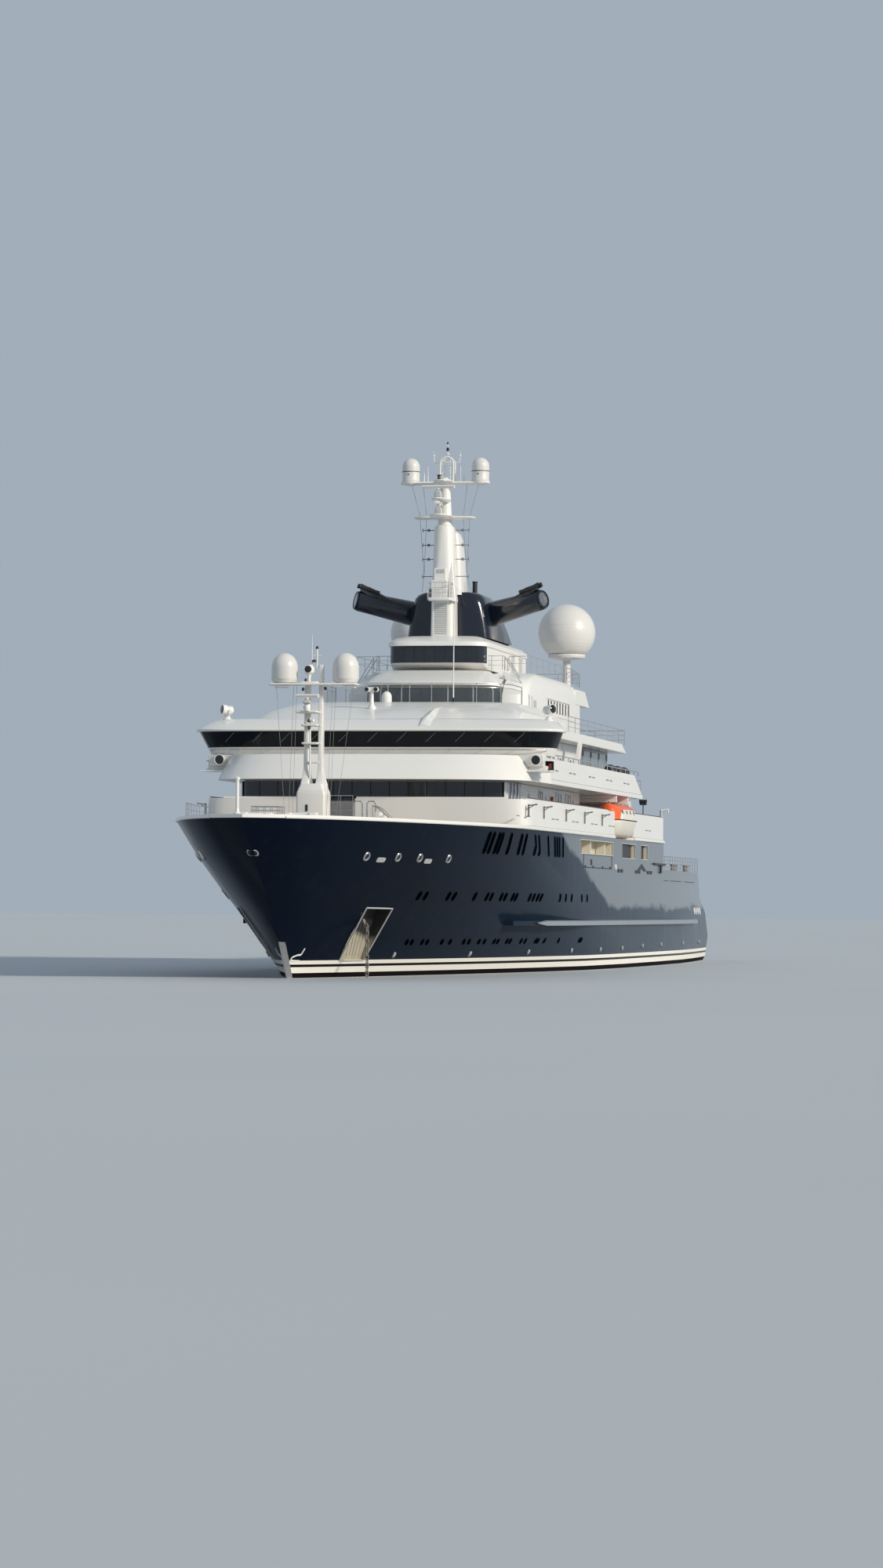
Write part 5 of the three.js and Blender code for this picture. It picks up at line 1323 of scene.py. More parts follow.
# %% [markdown]
# The upper houses have their own openings. Tall louvre slots ventilate the machinery behind the sun
# house, doors with rounded frames open from the lounge, and mullions divide its curved front window.
# %% Upper house openings
louvres, door_frames, door_panels, mullions = (Shape() for _ in range(4))
sun_side = surface("sun_house")
lounge_face = surface("lounge_glass")
for side in (1, -1):
    for k in range(8):
        x = 1.7 - k * 1.18
        at, _ = from_side(sun_side, x, 18.4, side)
        y = (at.y, at.y + side * 0.015)
        # Painted shade: each louvre slot is a thin black sheet, for the shade behind its blades.
        louvres.box((x - 0.32, x + 0.32), y, (18.02, 18.82))
        door_frames.bar((x + 0.42, at.y + side * 0.02, 17.98),
                        (x + 0.42, at.y + side * 0.02, 18.88), 0.06, 0.1)
    door_frames.bar((2.3, at.y + side * 0.03, 18.95), (-7.1, at.y + side * 0.03, 18.95), 0.1, 0.12)
    door_panels.box((6.3, 7.4), y, (17.9, 18.55))
    door_frames.bar((6.2, at.y + side * 0.02, 17.85), (7.5, at.y + side * 0.02, 17.85), 0.06, 0.08)
    for xa, xb in ((-0.6, 0.9), (-3.7, -2.1)):
        y = side * 3.42
        door_panels.box((xa + 0.1, xb - 0.1), (y, y + side * 0.02), (20.75, 21.95))
        door_frames.frame((xa, xb), y + side * 0.02, (20.6, 22.02), 0.1, 0.1, sill=False)
        door_frames.bar((xa + 0.25, y + side * 0.06, 21.2),
                        (xa + 0.25, y + side * 0.06, 21.5), 0.03, 0.03)
for k in range(-4, 5):
    y = k * 0.72
    at, _ = from_ahead(lounge_face, y, 21.5)
    mullions.box((at.x - 0.02, at.x + 0.02), (y - 0.025, y + 0.025), (20.98, 22.08))
piece("louvre_slot_shade", louvres, black)
piece("upper_door_frames", door_frames, white, edges=0.01)
piece("upper_door_panels", door_panels, pale)
piece("lounge_mullions", mullions, black)

# %% [markdown]
# The second tier is a saloon walled with glass. Upright mullions and a waist rail break it into panes.
# Canister rafts under dark covers lie on cradles at the deck edge, and a low rail tops the bulwark.
# %% Second tier
raft = [(0, 0), (0.2, 0.03), (0.3, 0.12), (0.31, 0.8), (0.33, 0.82), (0.33, 0.88), (0.31, 0.9),
        (0.3, 1.58), (0.2, 1.67), (0, 1.7)]
SALOON_WALL, TIER_WALL = 7.7, 7.8  # from the centreline to the glass aft and to the wall ahead of it
saloon_bars, tier_glass, tier_frames, canisters, straps = (Shape() for _ in range(5))
for side in (1, -1):
    y = side * SALOON_WALL
    for k in range(5):
        x = -1.35 - k * 3.46
        saloon_bars.box((x - 0.035, x + 0.035), (y, y + side * 0.06), (Z_SALOON, 15.7))
    for z in (12.68, 13.75, 15.6):
        saloon_bars.box((-15.3, -1.2), (y, y + side * 0.045), (z - 0.06, z + 0.06))
    y = side * TIER_WALL
    for xa, xb in ((19.6, 21.9), (16.6, 18.9), (13.6, 15.9), (10.6, 12.9), (7.6, 9.9)):
        tier_glass.box((xa, xb), (y, y + side * 0.02), (13.4, 15.0))
        tier_frames.frame((xa, xb), y + side * 0.02, (13.4, 15.0), 0.07, 0.1, lap=0.05)
    for x in (5.4, 1.2):
        tier_frames.box((x - 0.5, x + 0.5), (y, y + side * 0.05), (12.7, 14.85))
        tier_glass.box((x - 0.3, x + 0.3), (y, y + side * 0.065), (13.8, 14.6))
    for x in (-3.6, -6.6, -9.6):
        canisters.turned(raft, (x - 0.85, side * 9.9, 14.15), (1, 0, 0), 24)
        for dx in (-0.5, 0.5):
            straps.bar((x + dx, side * 10.25, 13.8), (x + dx, side * 9.55, 13.8), 0.08, 0.06)
            for dy in (10.22, 9.58):
                straps.bar((x + dx, side * dy, 13.8), (x + dx, side * dy, 14.2), 0.06, 0.06)
            straps.bar((x + dx, side * 9.6, 13.8), (x + dx, side * 9.6, Z_SALOON), 0.06, 0.06)
    y = side * 9.0
    tier_frames.loft([corner_ring((x - 0.35, x + 0.35), (y - 0.12, y + 0.12), z)
                      for x, z in ((6.4, Z_SALOON), (4.1, 15.72))])
for k in range(-5, 6):
    saloon_bars.box((-15.36, -15.3), (k * 1.54 - 0.05, k * 1.54 + 0.05), (Z_SALOON, 15.7))
for z in (12.68, 15.6):
    saloon_bars.box((-15.345, -15.3), (-SALOON_WALL, SALOON_WALL), (z - 0.06, z + 0.06))
piece("saloon_mullions", saloon_bars, pale)
piece("second_tier_windows", tier_glass, dark_glass)
piece("second_tier_frames", tier_frames, white, edges=0.01)
piece("raft_canisters", canisters, black)
piece("raft_cradles", straps, steel)

# %% [markdown]
# The open deck edges get their rails now, all with the rail maker: three bars on the passenger decks,
# four on the mooring deck aft, and a single low bar on the second bulwark. A table gives the rails that
# lie on both sides; two more cross the ship.
# %% Deck rails
PAIRED_RAILS = (  # path to port, height, bars, steps between the posts, radius
    ([(22.4, 10.33, Z_TWO), (-13.6, 10.33, Z_TWO)], 0.3, 1, 2.0, 0.03),
    ([(8.0, 8.85, Z_BOAT), (-16.3, 8.85, Z_BOAT)], 1.05, 3, 2.6, 0.022),
    ([(7.6, 4.6, Z_UPPER), (7.6, 6.1, Z_UPPER), (-9.4, 6.1, Z_UPPER)], 1.0, 2, 2.4, 0.022),
    ([(9.0, 2.9, Z_UPPER), (9.0, 4.4, Z_UPPER), (8.1, 4.4, Z_UPPER)], 0.95, 3, 0.8, 0.022),
    ([(-25.6, 9.7, Z_AFTER), (-50.0, 9.55, Z_AFTER)], 1.1, 4, 1.4, 0.03),
    ([(-15.0, 10.3, Z_SALOON), (-15.0, 0.4, Z_SALOON)], 1.05, 3, 1.6, 0.022),
    ([(-9.4, 6.1, Z_UPPER), (-15.4, 5.6, Z_UPPER)], 1.0, 3, 1.5, 0.022),
)
deck_rails = Shape()
for path, height, bars, spacing, radius in PAIRED_RAILS:
    for side in (1, -1):
        railing(deck_rails, [(x, side * y, z) for x, y, z in path], height, bars, spacing, radius)
railing(deck_rails, [(-16.35, 8.85, Z_BOAT), (-16.35, -8.85, Z_BOAT)], 1.05, 3, 2.2)
railing(deck_rails, [(-15.4, 5.6, Z_UPPER), (-15.4, -5.6, Z_UPPER)], 1.0, 3, 1.5)
piece("deck_rails", deck_rails, steel)

# %% [markdown]
# The funnel has two arms that carry the exhaust outboard, clear of the decks. Each arm ends in a slatted
# grille, with a bunch of cut pipes above it; a collar seals the joint with the casing. A short black
# stack stands on top. The casing is built again from rings, so that its corners are round.
# %% Funnel details
ARM = {"root": (3.4, 1.6, 24.45), "tip": (5.8, 6.6, 25.6)}  # of the port arm
CASING = (  # height, half width, corner radius
    (22.9, 2.95, 0.7), (24.0, 2.82, 0.8), (25.2, 2.6, 0.9), (25.7, 2.45, 0.9), (25.95, 2.25, 0.9),
    (26.08, 1.95, 0.9), (26.13, 1.6, 0.85),
)
HOOD = (  # way inboard from the tip, lift, half width, half thickness
    (3.2, 0.35, 0.3, 0.1), (2.0, 0.52, 0.42, 0.22), (1.0, 0.78, 0.46, 0.3), (0.35, 1.0, 0.44, 0.26),
)
PIPES = (  # way forward and inboard from the tip, drop, radius
    (-0.3, 0.25, 0.05, 0.15), (-0.02, 0.1, -0.02, 0.16), (0.25, 0.3, 0.06, 0.14),
    (0.1, 0.75, 0.22, 0.13),
)
collars, grilles, pipes, arm_skins, casing = (Shape() for _ in range(5))
casing_rings = []
for z, half_y, r in CASING:
    aft = -3.0 + 4.6 * (z - 22.9) / 3.2 + (0.5 if z > 26 else 0)
    fore = 6.34 - (0.1 if z > 25.9 else 0) - (0.25 if z > 26.1 else 0)
    casing_rings.append(soft_ring((fore + aft) / 2, 0, z, (fore - aft) / 2, half_y, r, 6))
casing.loft(casing_rings)
whole_funnel = piece("funnel_casing", casing, funnel_navy, crease=40)
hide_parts("funnel")
for side in (1, -1):
    root, tip = (Vector((p[0], side * p[1], p[2])) for p in (ARM["root"], ARM["tip"]))
    out = (tip - root).normalized()
    length = (tip - root).length
    arm_skins.turned([(0.88, 0), (0.86, length * 0.3), (0.76, length * 0.7), (0.72, length - 0.15),
                      (0.68, length - 0.03), (0.6, length)], root, out, 48)
    collars.turned([(0.84, -0.1), (0.93, -0.07), (0.95, 0.0), (0.93, 0.07), (0.82, 0.1)],
                   root.lerp(tip, 0.17), out, 40)
    arm_skins.turned([(0.6, -0.02), (0.66, 0.02), (0.63, 0.09), (0.53, 0.1), (0.5, 0.0), (0.5, -0.05)],
                     tip, out, 36)
    over = Vector((0, 0, 1)).cross(out).normalized()
    up = out.cross(over)
    for k in range(-4, 5):
        half = math.sqrt(0.5 ** 2 - (k * 0.11) ** 2)
        at = tip + over * (k * 0.11) + out * 0.04
        grilles.tube([at - up * half, at + up * half], 0.022, 6)
    hood = []
    for inboard, lift, wide, thick in HOOD:
        at = tip - Vector((inboard * 0.35, side * inboard, inboard * 0.23)) + Vector((0.05, 0, lift))
        section = ((-1, -1), (1, -1), (0.9, 0.7), (0.4, 1), (-0.4, 1), (-0.9, 0.7))
        hood.append([at + Vector((a * wide, 0, b * thick)) for a, b in section])
    pipes.loft(hood)
    blast = Vector((0.15, side * 0.9, 0.28))
    for dx, inboard, drop, r in PIPES:
        end = tip + Vector((dx, -side * inboard, 1.0 - drop))
        pipes.tube([end - blast, end], r, 12)
        lip = [(r, -0.06), (r * 1.12, -0.02), (r * 1.1, 0.02), (r * 0.8, 0.02), (r * 0.75, -0.1)]
        pipes.turned(lip, end, blast, 12)
pipes.turned([(0.17, 0), (0.17, 1.05), (0.2, 1.07), (0.2, 1.13), (0.15, 1.13), (0.14, 1.0)],
             (2.9, 1.25, 25.95), sides=20)
pipes.turned([(0.12, 0), (0.12, 0.4), (0.16, 0.42), (0.1, 0.5)], (3.9, -1.7, 26.0), sides=14)
piece("funnel_arms", arm_skins, funnel_navy, crease=50)
piece("funnel_arm_collars", collars, funnel_navy, crease=50)
piece("funnel_grilles", grilles, steel)
piece("exhaust_pipes", pipes, black, crease=40)

# %% [markdown]
# The main mast is the tallest thing aboard. A rounded trunk carries a fin behind it and a column above
# it; two yards reach out sideways, a shelf and a balcony forward. The solid mast is square, so this one
# is built again with rounded sections: the same path of heights, but each ring is a soft rectangle.
# %% Main mast
def yard(shape, x, half, z, thick, root_wide, tip_wide):
    """A wing-like cross arm: deep in the middle, thin and rounded at its tips."""
    rings = []
    for k in range(-8, 9):
        s = k / 8
        y = s * half
        wide = root_wide + (tip_wide - root_wide) * abs(s) ** 0.8
        deep = thick * (1 - 0.25 * abs(s))
        if abs(s) == 1:
            wide, deep = wide * 0.6, deep * 0.6
        rings.append([(x + wide / 2 * math.cos(t), y, z + deep / 2 * math.sin(t)) for t in angles(12)])
    shape.loft(rings)


TRUNK = (  # height, half sizes, corner radius
    (22.9, 1.07, 0.78, 0.25), (25.3, 1.05, 0.76, 0.3), (27.4, 1.02, 0.73, 0.5),
    (30.2, 0.98, 0.68, 0.6), (30.5, 0.93, 0.64, 0.58), (30.6, 0.8, 0.55, 0.5),
)
FIN = (  # lean forward, then the same as for the trunk
    (0, 25.9, 1.3, 0.98, 0.25), (0.1, 28.2, 1.2, 0.88, 0.25), (0.3, 29.8, 1.0, 0.76, 0.25),
    (0.45, 30.15, 0.85, 0.7, 0.3), (0.5, 30.35, 0.6, 0.5, 0.3),
)
mast, mast_grey, mast_dark = Shape(), Shape(), Shape()
mast.loft([soft_ring(7.42, 0, z, a, b, r) for z, a, b, r in TRUNK])
mast.loft([soft_ring(5.25 + lean, 0, z, a, b, r) for lean, z, a, b, r in FIN])
mast.loft([soft_ring(6.5, 0, z, 0.5, w, 0.2) for z, w in ((25.9, 0.6), (30.2, 0.5))])
mast.loft([soft_ring(8.2 - k * 0.05, 0.78 - k * 0.05, 25.3 + k * 0.6, 0.5 - k * 0.055, 0.24 - k * 0.025,
                     0.05) for k in range(8)])
mast.turned([(0.52, 30.5), (0.46, 31.1), (0.4, 32.2), (0.34, 33.3), (0.34, 33.5), (0, 33.55)],
            (7.4, 0, 0), sides=28)
yard(mast, 7.5, 2.12, 31.15, 0.3, 1.5, 0.7)
yard(mast, 7.5, 3.1, 33.55, 0.3, 1.1, 0.8)
for x, z, reach, wide, thick in ((8.9, 31.15, 1.5, 0.8, 0.16), (8.9, 32.27, 1.65, 0.62, 0.14),
                                 (8.3, 33.62, 1.0, 0.66, 0.14)):
    mast.loft([[(x + reach * math.cos(t) * s, wide * math.sin(t) * s, z + h) for t in angles(28)]
               for s, h in ((0.8, -thick / 2), (0.97, -thick / 4), (1.0, 0),
                            (0.97, thick / 3), (0.7, thick / 2))])
for side in (1, -1):
    mast.turned([(0.4, -0.16), (0.6, -0.1), (0.66, 0.0), (0.66, 0.06), (0.5, 0.1)],
                (7.35, side * 2.45, 33.6), sides=32)
mast.turned([(0.45, 0), (0.45, 0.08), (0.3, 0.2), (0.18, 0.3)], (7.5, 0, 33.65), sides=24)
balcony = ((25.3, 0.72, 0.76), (25.36, 0.78, 0.84), (25.5, 0.78, 0.84), (25.52, 0.74, 0.8))
mast.loft([soft_ring(8.65, 0, z, a, b, 0.2) for z, a, b in balcony])
mast.box((8.3, 8.95), (-0.62, 0.45), (25.5, 26.75))
mast.box((8.25, 8.6), (-0.5, 0.3), (26.75, 27.6))
mast.box((8.35, 8.5), (-0.62, -0.5), (22.95, 25.3))
mast.box((8.35, 8.5), (0.36, 0.5), (22.95, 25.3))
for k in range(15):
    z = 23.1 + k * 0.145
    mast_grey.bar((8.5, -0.5, z), (8.5, 0.36, z), 0.04, 0.05)
mast_grey.box((8.44, 8.47), (-0.5, 0.36), (22.95, 25.3))
mast_grey.box((8.59, 8.62), (-0.35, 0.2), (27.25, 27.5))
railing(mast_grey, [(8.5, -0.8, 25.5), (9.38, -0.8, 25.5), (9.38, 0.8, 25.5), (8.5, 0.8, 25.5)],
        1.05, 3, 0.5)
whole_mast = piece("main_mast_structure", mast, white, edges=0.012, crease=40)
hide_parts("main_mast")
piece("main_mast_louvre_and_balcony_rail", mast_grey, pale)

# %% [markdown]
# Above the yards stand two dome aerials and an arched cage with a ladder in it, which carries the
# topmost light. Short dipole aerials stick out sideways in pairs, and wire stays run down from the yard.
# %% Mast head and aerials
mast_domes, head, dipoles, wires = (Shape() for _ in range(4))
for side in (1, -1):
    at = Vector((7.35, side * 2.45, 33.66))
    cap = [(0.61 * math.cos(t), 1.05 + 0.62 * math.sin(t)) for t in angles(56, 1, 14)]
    mast_domes.turned([(0.6, 0), (0.64, 0.05), (0.6, 0.1), (0.61, 0.68), (0.61, 1.05)]
                      + cap + [(0, 1.67)], at, sides=40)
    mast_dark.turned([(0.612, 0.69), (0.632, 0.7), (0.632, 0.73), (0.612, 0.74)], at, sides=36)
    mast_dark.turned([(0.05, 0), (0.05, 0.02), (0, 0.03)],
                     at + Vector((0.6, -0.06, 0.5)), (1, -0.1, 0), 10)
CAGE_Y = 0.14
arch = [(7.4, CAGE_Y + 0.46, 33.6), (7.4, CAGE_Y + 0.46, 34.9)]
arch += [(7.4, CAGE_Y + 0.46 * math.cos(t), 34.95 + 0.42 * math.sin(t)) for t in angles(16, 1, 8)]
arch += [(7.4, CAGE_Y - 0.46, 34.9), (7.4, CAGE_Y - 0.46, 33.6)]
for dx in (0.3, -0.3):
    head.tube([(x + dx, y, z) for x, y, z in arch], 0.06, 8)
for k in range(7):
    z = 33.8 + k * 0.21
    head.tube([(7.4, CAGE_Y - 0.2, z), (7.4, CAGE_Y + 0.2, z)], 0.018, 6)
for y in (-0.2, 0.2):
    head.tube([(7.4, CAGE_Y + y, 33.6), (7.4, CAGE_Y + y, 35.3)], 0.025, 6)
for z in (34.3, 34.95):
    for y in (0.46, -0.46):
        head.tube([(7.1, CAGE_Y + y, z), (7.7, CAGE_Y + y, z)], 0.03, 6)
head.tube([(7.4, -0.85, 35.0), (7.4, 1.0, 35.0)], 0.032, 8)
for y in (-0.8, 0.98):
    head.tube([(7.4, y, 35.0), (7.4, y * 1.04, 35.45)], 0.03, 6)
    head.turned([(0.06, 0), (0.09, 0.05), (0.05, 0.12)], (7.4, y * 1.04, 35.42), sides=12)
    head.tube([(7.4, y * 1.04, 35.5), (7.4, y * 1.08, 35.82)], 0.014, 6)
head.tube([(7.4, CAGE_Y, 35.35), (7.4, CAGE_Y, 36.3)], [0.05, 0.025], 8)
head.turned([(0.16, 0), (0.18, 0.05), (0.08, 0.08)], (7.4, CAGE_Y, 35.55), sides=16)
mast_dark.turned([(0, 0), (0.09, 0.02), (0.1, 0.2), (0.06, 0.26), (0, 0.27)],
                 (7.4, CAGE_Y, 35.78), sides=14)
mast_dark.turned([(0.05, 0), (0.07, 0.04), (0.05, 0.14), (0, 0.16)], (7.4, CAGE_Y, 36.28), sides=12)
mast_dark.turned([(0.08, 0), (0.12, 0.06), (0.1, 0.2), (0.16, 0.3), (0, 0.34)],
                 (8.9, -0.15, 33.7), sides=14)
for y, z0, z1 in ((-1.24, 33.68, 34.7), (-1.5, 33.68, 34.3), (1.06, 33.68, 34.75), (1.3, 33.68, 34.2)):
    head.tube([(7.4, y, z0), (7.4, y, z1)], [0.045, 0.02], 6)
for z in (30.33, 29.3, 28.32, 27.12):
    for s in (1, -1):
        dipoles.tube([(7.16, s * 0.7, z), (7.16, s * 1.62, z)], 0.03, 6)
        dipoles.tube([(7.16, s * 1.62, z - 0.13), (7.16, s * 1.62, z + 0.13)], 0.028, 6)
        if z != 27.12:
            dipoles.turned([(0.05, 0), (0.1, 0.04), (0.1, 0.16), (0.05, 0.2)],
                           (7.16, s * 1.1, z), (0, s, 0), 12)
for s in (1, -1):
    for top_y, mid_y in ((2.35, 1.75), (1.55, 1.3)):
        wires.tube([(7.5, s * top_y, 33.45), (7.5, s * mid_y, 31.25)], 0.013, 5)
        wires.tube([(7.5, s * mid_y, 31.05), (7.2, s * 1.5, 27.2), (6.6, s * 1.75, 26.12)], 0.013, 5)
piece("mast_domes", mast_domes, radome, crease=50)
piece("mast_head_cage", head, white)
piece("mast_dipoles", dipoles, grey)
piece("mast_stays", wires, grey)
piece("mast_dark_fittings", mast_dark, black)

# %% [markdown]
# A ship's radar is a bar that turns on a small gearbox. The gearboxes stay with the ship, while the
# thin windows along the bars turn with them.
# %% Radars
gearboxes = Shape()
for x, y, z in ((9.9, 0, 32.91), (9.7, 0, 31.8), (47.65, -0.2, 16.7)):
    base = z - (0.56 if x < 20 else 0.3)
    gearboxes.loft([soft_ring(x, y, h, a, a * 0.85, 0.08) for h, a in
                    ((base, 0.26), (base + 0.08, 0.28), (z - 0.2, 0.26),
                     (z - 0.12, 0.2), (z - 0.05, 0.12))])
piece("radar_gearboxes", gearboxes, pale, edges=0.01)
for name in ("radar_upper", "radar_lower", "radar_fore"):
    low, high = (Vector(v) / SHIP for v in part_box(name))
    strip = Shape()
    if high.x - low.x > high.y - low.y:
        strip.box((low.x + 0.06, high.x - 0.06), (low.y - 0.006, high.y + 0.006),
                  (low.z + 0.1, high.z - 0.09))
    else:
        strip.box((low.x - 0.006, high.x + 0.006), (low.y + 0.06, high.y - 0.06),
                  (low.z + 0.1, high.z - 0.09))
    piece(name + "_window", strip, pale, body=name)

# %% [markdown]
# The two big aerial globes stand on pedestals. A globe like this is bolted from gores, so the surface is
# a clean turned profile with a faint seam ring, over a bolted flange.
# %% Big domes
GLOBE = 2.085  # radius
for name, side in SIDES:
    globe = Shape()
    at = Vector((-10.4, side * 5.5, 24.3))
    ball = [(GLOBE * math.cos(t), GLOBE * math.sin(t))
            for t in (math.radians(a) for a in range(-46, 90, 6))]
    globe.turned([(1.2, -1.78), (1.36, -1.76), (1.36, -1.6), (1.26, -1.58)] + ball + [(0, GLOBE)],
                 at, sides=64)
    for h in (0.5, -0.75):
        r = math.sqrt(GLOBE ** 2 - h ** 2)
        seam = [(r - 0.02, h - 0.02), (r + 0.006, h - 0.015), (r + 0.006, h + 0.015),
                (r - 0.02, h + 0.02)]
        globe.turned(seam, at, sides=64)
    for t in angles(24):
        bolt = at + Vector((1.3 * math.cos(t), 1.3 * math.sin(t), -1.6))
        globe.turned([(0.04, 0), (0.04, 0.03), (0, 0.035)], bolt, sides=6)
    globe.turned([(0.55, 20.2), (0.55, 20.28), (0.3, 20.4), (0.27, 22.2), (0.42, 22.32),
                  (1.32, 22.45), (1.34, 22.54)],
                 (at.x, at.y, 0), sides=32)
    dome = piece(f"globe_{name}", globe, radome, crease=40)
    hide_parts(f"sat_dome_{name}")

# %% [markdown]
# Each lifeboat is a closed shell: an orange canopy over a white hull whose outboard side is white to the
# top. It has a window line, a rubbing strake and two lifting hooks, and moves outboard on its two arms.
# %% Lifeboats
boat_paint = Recipe("lifeboat_shell", Coat_Weight=0.2, Coat_Roughness=0.1)
speckle = boat_paint.noise(2.0, 3.0)
hot = boat_paint.mix(speckle, (0.70, 0.085, 0.018, 1), (0.82, 0.14, 0.03, 1))
chalky = boat_paint.mix(speckle, (0.70, 0.66, 0.56, 1), (0.80, 0.77, 0.68, 1))
outboard = boat_paint.math("ABSOLUTE", boat_paint.axis(1))
canopy_part = (boat_paint.axis(2) > 10.55) * (outboard < 10.7)
boat_paint.give(Base_Color=boat_paint.mix(canopy_part, chalky, hot), Roughness=speckle * 0.2 + 0.28)
boat_paint.bump(boat_paint.noise(6.0, 2.0) * 0.004, 1.0, 0.5)
BOAT = {"x": (-10.85, -2.45), "y": 9.8}
BOAT_SECTION = (  # height, half width
    (9.27, 0.12), (9.34, 0.42), (9.6, 0.72), (10.0, 0.92), (10.35, 1.02), (10.55, 1.08),
    (10.62, 1.04), (11.0, 1.0), (11.32, 0.9), (11.55, 0.7), (11.66, 0.4), (11.7, 0.1),
)


def boat_ring(z, wide, side):
    """One waterline of the boat: full amidships, blunt at the bow and nearly square at the stern."""
    cut = max(0.0, 10.4 - z) * 0.75
    rise = max(0, z - 10.6)
    fore, aft = BOAT["x"][1] - cut - rise * 0.35, BOAT["x"][0] + cut * 0.4 + rise * 0.25
    ring = []
    for t in angles(40):
        c, d = math.cos(t), math.sin(t)
        reach = math.copysign(abs(c) ** (0.36 if c > 0 else 0.24), c)
        out = math.copysign(abs(d) ** 0.8, d)
        ring.append(((fore + aft) / 2 + (fore - aft) / 2 * reach, side * BOAT["y"] + wide * out, z))
    return ring


for name, side in SIDES:
    middle = side * BOAT["y"]
    shell = Shape()
    shell.loft([boat_ring(z, wide, side) for z, wide in BOAT_SECTION])
    boat_shell = piece(f"boat_shell_{name}", shell, boat_paint.material,
                       body=f"lifeboat_{name}", crease=50)
    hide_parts(f"lifeboat_{name}")
    boat = BVHTree.FromPolygons(shell.points, shell.faces)
    strake, boat_glass, boat_steel = Shape(), Shape(), Shape()
    belt = boat_ring(10.55, 1.09, side)
    strake.tube(belt + belt[:1], 0.035, 8)
    for k in range(4):
        x = -8.9 + k * 1.6
        for facing in (1, -1):
            origin = Vector((x, middle + facing * 4, 11.12))
            face, normal, _, _ = boat.ray_cast(origin, Vector((0, -facing, 0)))
            if face:
                across = Vector((0.24, 0, 0))
                up = Vector((0, normal.z * -normal.y, normal.y ** 2)).normalized() * 0.12
                window = (-across - up, across - up, across * 0.9 + up, -across * 0.9 + up)
                boat_glass.loft([[face + normal * d + corner for corner in window]
                                 for d in (-0.03, 0.02)])
    for x in (-9.8, -3.5):
        at, _ = from_above(boat, x, middle)
        top = min(at.z, 11.6)
        boat_steel.tube([(x, middle, top - 0.1), (x, middle, top + 0.12)], 0.06, 8)
        eye = [(x, middle + 0.09 * math.cos(t), top + 0.16 + 0.07 * math.sin(t))
               for t in angles(10, 0, 11)]
        boat_steel.tube(eye, 0.03, 6)
    piece(f"boat_strakes_{name}", strake, rubber, body=f"lifeboat_{name}")
    piece(f"boat_windows_{name}", boat_glass, dark_glass, body=f"lifeboat_{name}")
    piece(f"boat_fittings_{name}", boat_steel, steel, body=f"lifeboat_{name}")

# %% [markdown]
# Bollards, hatches, lockers and vents fill the open after deck, and rails ring the low stern platform.
# The small crane on each quarter gets its post's rings, its wire and its hook, which turn with it.
# %% After deck
after, after_grey, after_rails = Shape(), Shape(), Shape()
for x, long, wide, tall in ((-30.5, 1.6, 2.2, 0.35), (-38.0, 2.2, 2.5, 0.35), (-46.0, 1.5, 1.8, 0.3)):
    lid = Z_AFTER + tall
    after.box((x - long, x + long), (-wide, wide), (Z_AFTER, lid))
    after.box((x - long - 0.1, x + long + 0.1), (-wide - 0.1, wide + 0.1), (lid, lid + 0.08))
for word, side in SIDES:
    for x in (-28.0, -35.0, -43.0, -49.5):
        after_grey.box((x - 0.75, x + 0.75), (side * 8.4, side * 8.9), (Z_AFTER, Z_AFTER + 0.07))
        for dx in (-0.4, 0.4):
            after_grey.turned([(0.18, 0), (0.18, 0.42), (0.24, 0.46), (0.24, 0.55), (0, 0.58)],
                              (x + dx, side * 8.65, 7.25), sides=16)
    for x in (-33.0, -41.0):
        after.turned([(0.2, 0), (0.2, 0.6), (0.4, 0.68), (0.42, 0.86), (0.26, 1.0), (0, 1.03)],
                     (x, side * 6.6, Z_AFTER), sides=20)
    for x in (-27.0, -31.5, -36.5, -45.0):
        after.box((x - 0.9, x + 0.9), (side * 5.2, side * 6.0), (Z_AFTER, Z_AFTER + 0.55))
    railing(after_rails, [(-60.9, side * 7.2, 1.6), (-62.0, side * 6.6, 1.6), (-62.15, side * 2.2, 1.6)],
            1.1, 3, 1.3)
    jib = Shape()
    y = side * 10.34
    x, hook_y = -24.9, y + side * 0.54
    jib.turned([(0.07, 0), (0.14, 0.02), (0.14, 0.1), (0.1, 0.14), (0.1, 0.52),
                (0.13, 0.56), (0.06, 0.6)],
               (x, y, 11.12), sides=18)
    jib.tube([(x, y, 11.35), (x, y + side * 0.3, 11.72)], 0.03, 6)
    jib.tube([(x, hook_y, 11.78), (x, hook_y, 11.6)], 0.012, 5)
    jib.turned([(0, 0), (0.04, 0.03), (0.05, 0.1), (0.02, 0.14)], (x, hook_y, 11.47), sides=12)
    piece(f"crane_fittings_{word}", jib, pale, body=f"crane_{word}")
piece("after_deck_hatches", after, white, edges=0.03)
piece("after_deck_bollards", after_grey, grey)
piece("stern_platform_rails", after_rails, steel)

# %% [markdown]
# The after walls of the houses don't show in the photo, but a buyer will see them. They get what such
# walls have: sliding glass doors on each deck, and steps between the decks.
# %% After walls
after_glass, after_frames, after_steps = Shape(), Shape(), Shape()


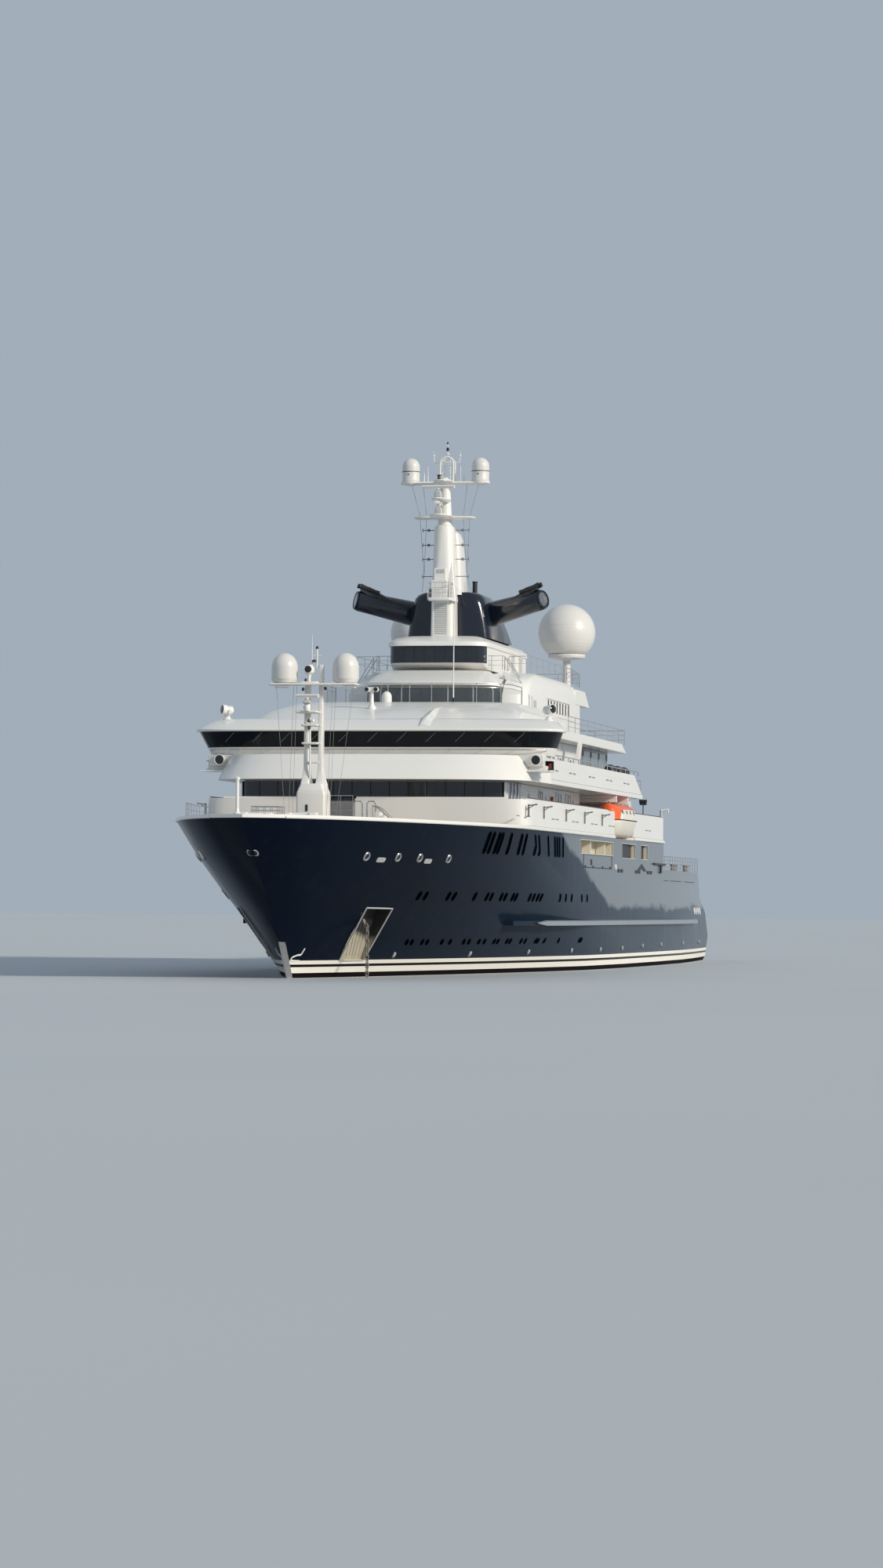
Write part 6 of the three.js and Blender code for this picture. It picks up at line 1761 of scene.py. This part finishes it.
def glazed_wall(x, y0, y1, z0, z1, panes_across):
    """Sliding doors in an after wall that faces the stern."""
    step = (y1 - y0) / panes_across
    for k in range(panes_across):
        a, b = y0 + k * step + 0.06, y0 + (k + 1) * step - 0.06
        after_glass.box((x - 0.02, x + 0.01), (a, b), (z0 + 0.08, z1 - 0.08))
    for k in range(panes_across + 1):
        y = y0 + k * step
        after_frames.box((x - 0.06, x), (y - 0.06, y + 0.06), (z0, z1))
    for z in (z0, z1):
        after_frames.box((x - 0.06, x), (y0 - 0.06, y1 + 0.06), (z - 0.06, z + 0.06))


glazed_wall(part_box("house_one")[0].x / SHIP, -5.4, 5.4, 9.55, 11.9, 6)
glazed_wall(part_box("lounge_house")[0].x / SHIP, -2.4, 2.4, 20.65, 22.0, 3)
aft_hit, _, _, _ = sun_side.ray_cast(Vector((-40, 0, 18.0)), Vector((1, 0, 0)))
glazed_wall(aft_hit.x, -4.6, 4.6, 17.0, 18.8, 6)
for side in (1, -1):
    for k in range(9):
        x, z = -25.6 - k * 0.28, 9.2 - k * 0.24
        after_steps.box((x - 0.3, x), (side * 4.0, side * 5.6), (z - 0.05, z))
    for y in (4.0, 5.6):
        after_steps.bar((-25.5, side * y, 9.25), (-28.1, side * y, 7.25), 0.05, 0.2)
piece("after_wall_glass", after_glass, dark_glass)
piece("after_wall_frames", after_frames, pale, edges=0.01)
piece("after_deck_steps", after_steps, pale, edges=0.01)

# %% [markdown]
# The yacht floats, so the pale studio floor lies at the waterline and hides what is under water. The
# light is one warm soft lamp, low over the port bow, with a wide cool sky that fills the shade.
# %% Floor and light
FLOOR_REACH = 160.0
floor_mesh = bpy.data.meshes.new("studio_floor")
rim = [(FLOOR_REACH * math.cos(t), FLOOR_REACH * math.sin(t), 0) for t in angles(64)]
floor_mesh.from_pydata(rim, [], [list(range(64))])
floor = bpy.data.objects.new("studio_floor", floor_mesh)
bpy.context.scene.collection.objects.link(floor)
floor_paint = Recipe("pale_floor")
tone = floor_paint.mix(floor_paint.noise(0.02, 2.0), (0.46, 0.495, 0.53, 1), (0.51, 0.545, 0.58, 1))
floor_paint.give(Base_Color=tone, Roughness=0.7)
floor_mesh.materials.append(floor_paint.material)

sun = bpy.data.objects.new("sun", bpy.data.lights.new("sun", "SUN"))
sun.data.energy = 3.2
sun.data.angle = math.radians(9)
sun.data.color = (1.0, 0.92, 0.78)
sun.rotation_euler = Vector((0.36, 0.83, 0.41)).to_track_quat("Z", "Y").to_euler()
bpy.context.scene.collection.objects.link(sun)
world = bpy.data.worlds.new("studio")
world.use_nodes = True
sky = world.node_tree.nodes["Background"]
sky.inputs["Color"].default_value = (0.50, 0.585, 0.68, 1)
sky.inputs["Strength"].default_value = 0.72
bpy.context.scene.world = world
bpy.context.scene.view_settings.view_transform = "Standard"
print("sun and sky set")
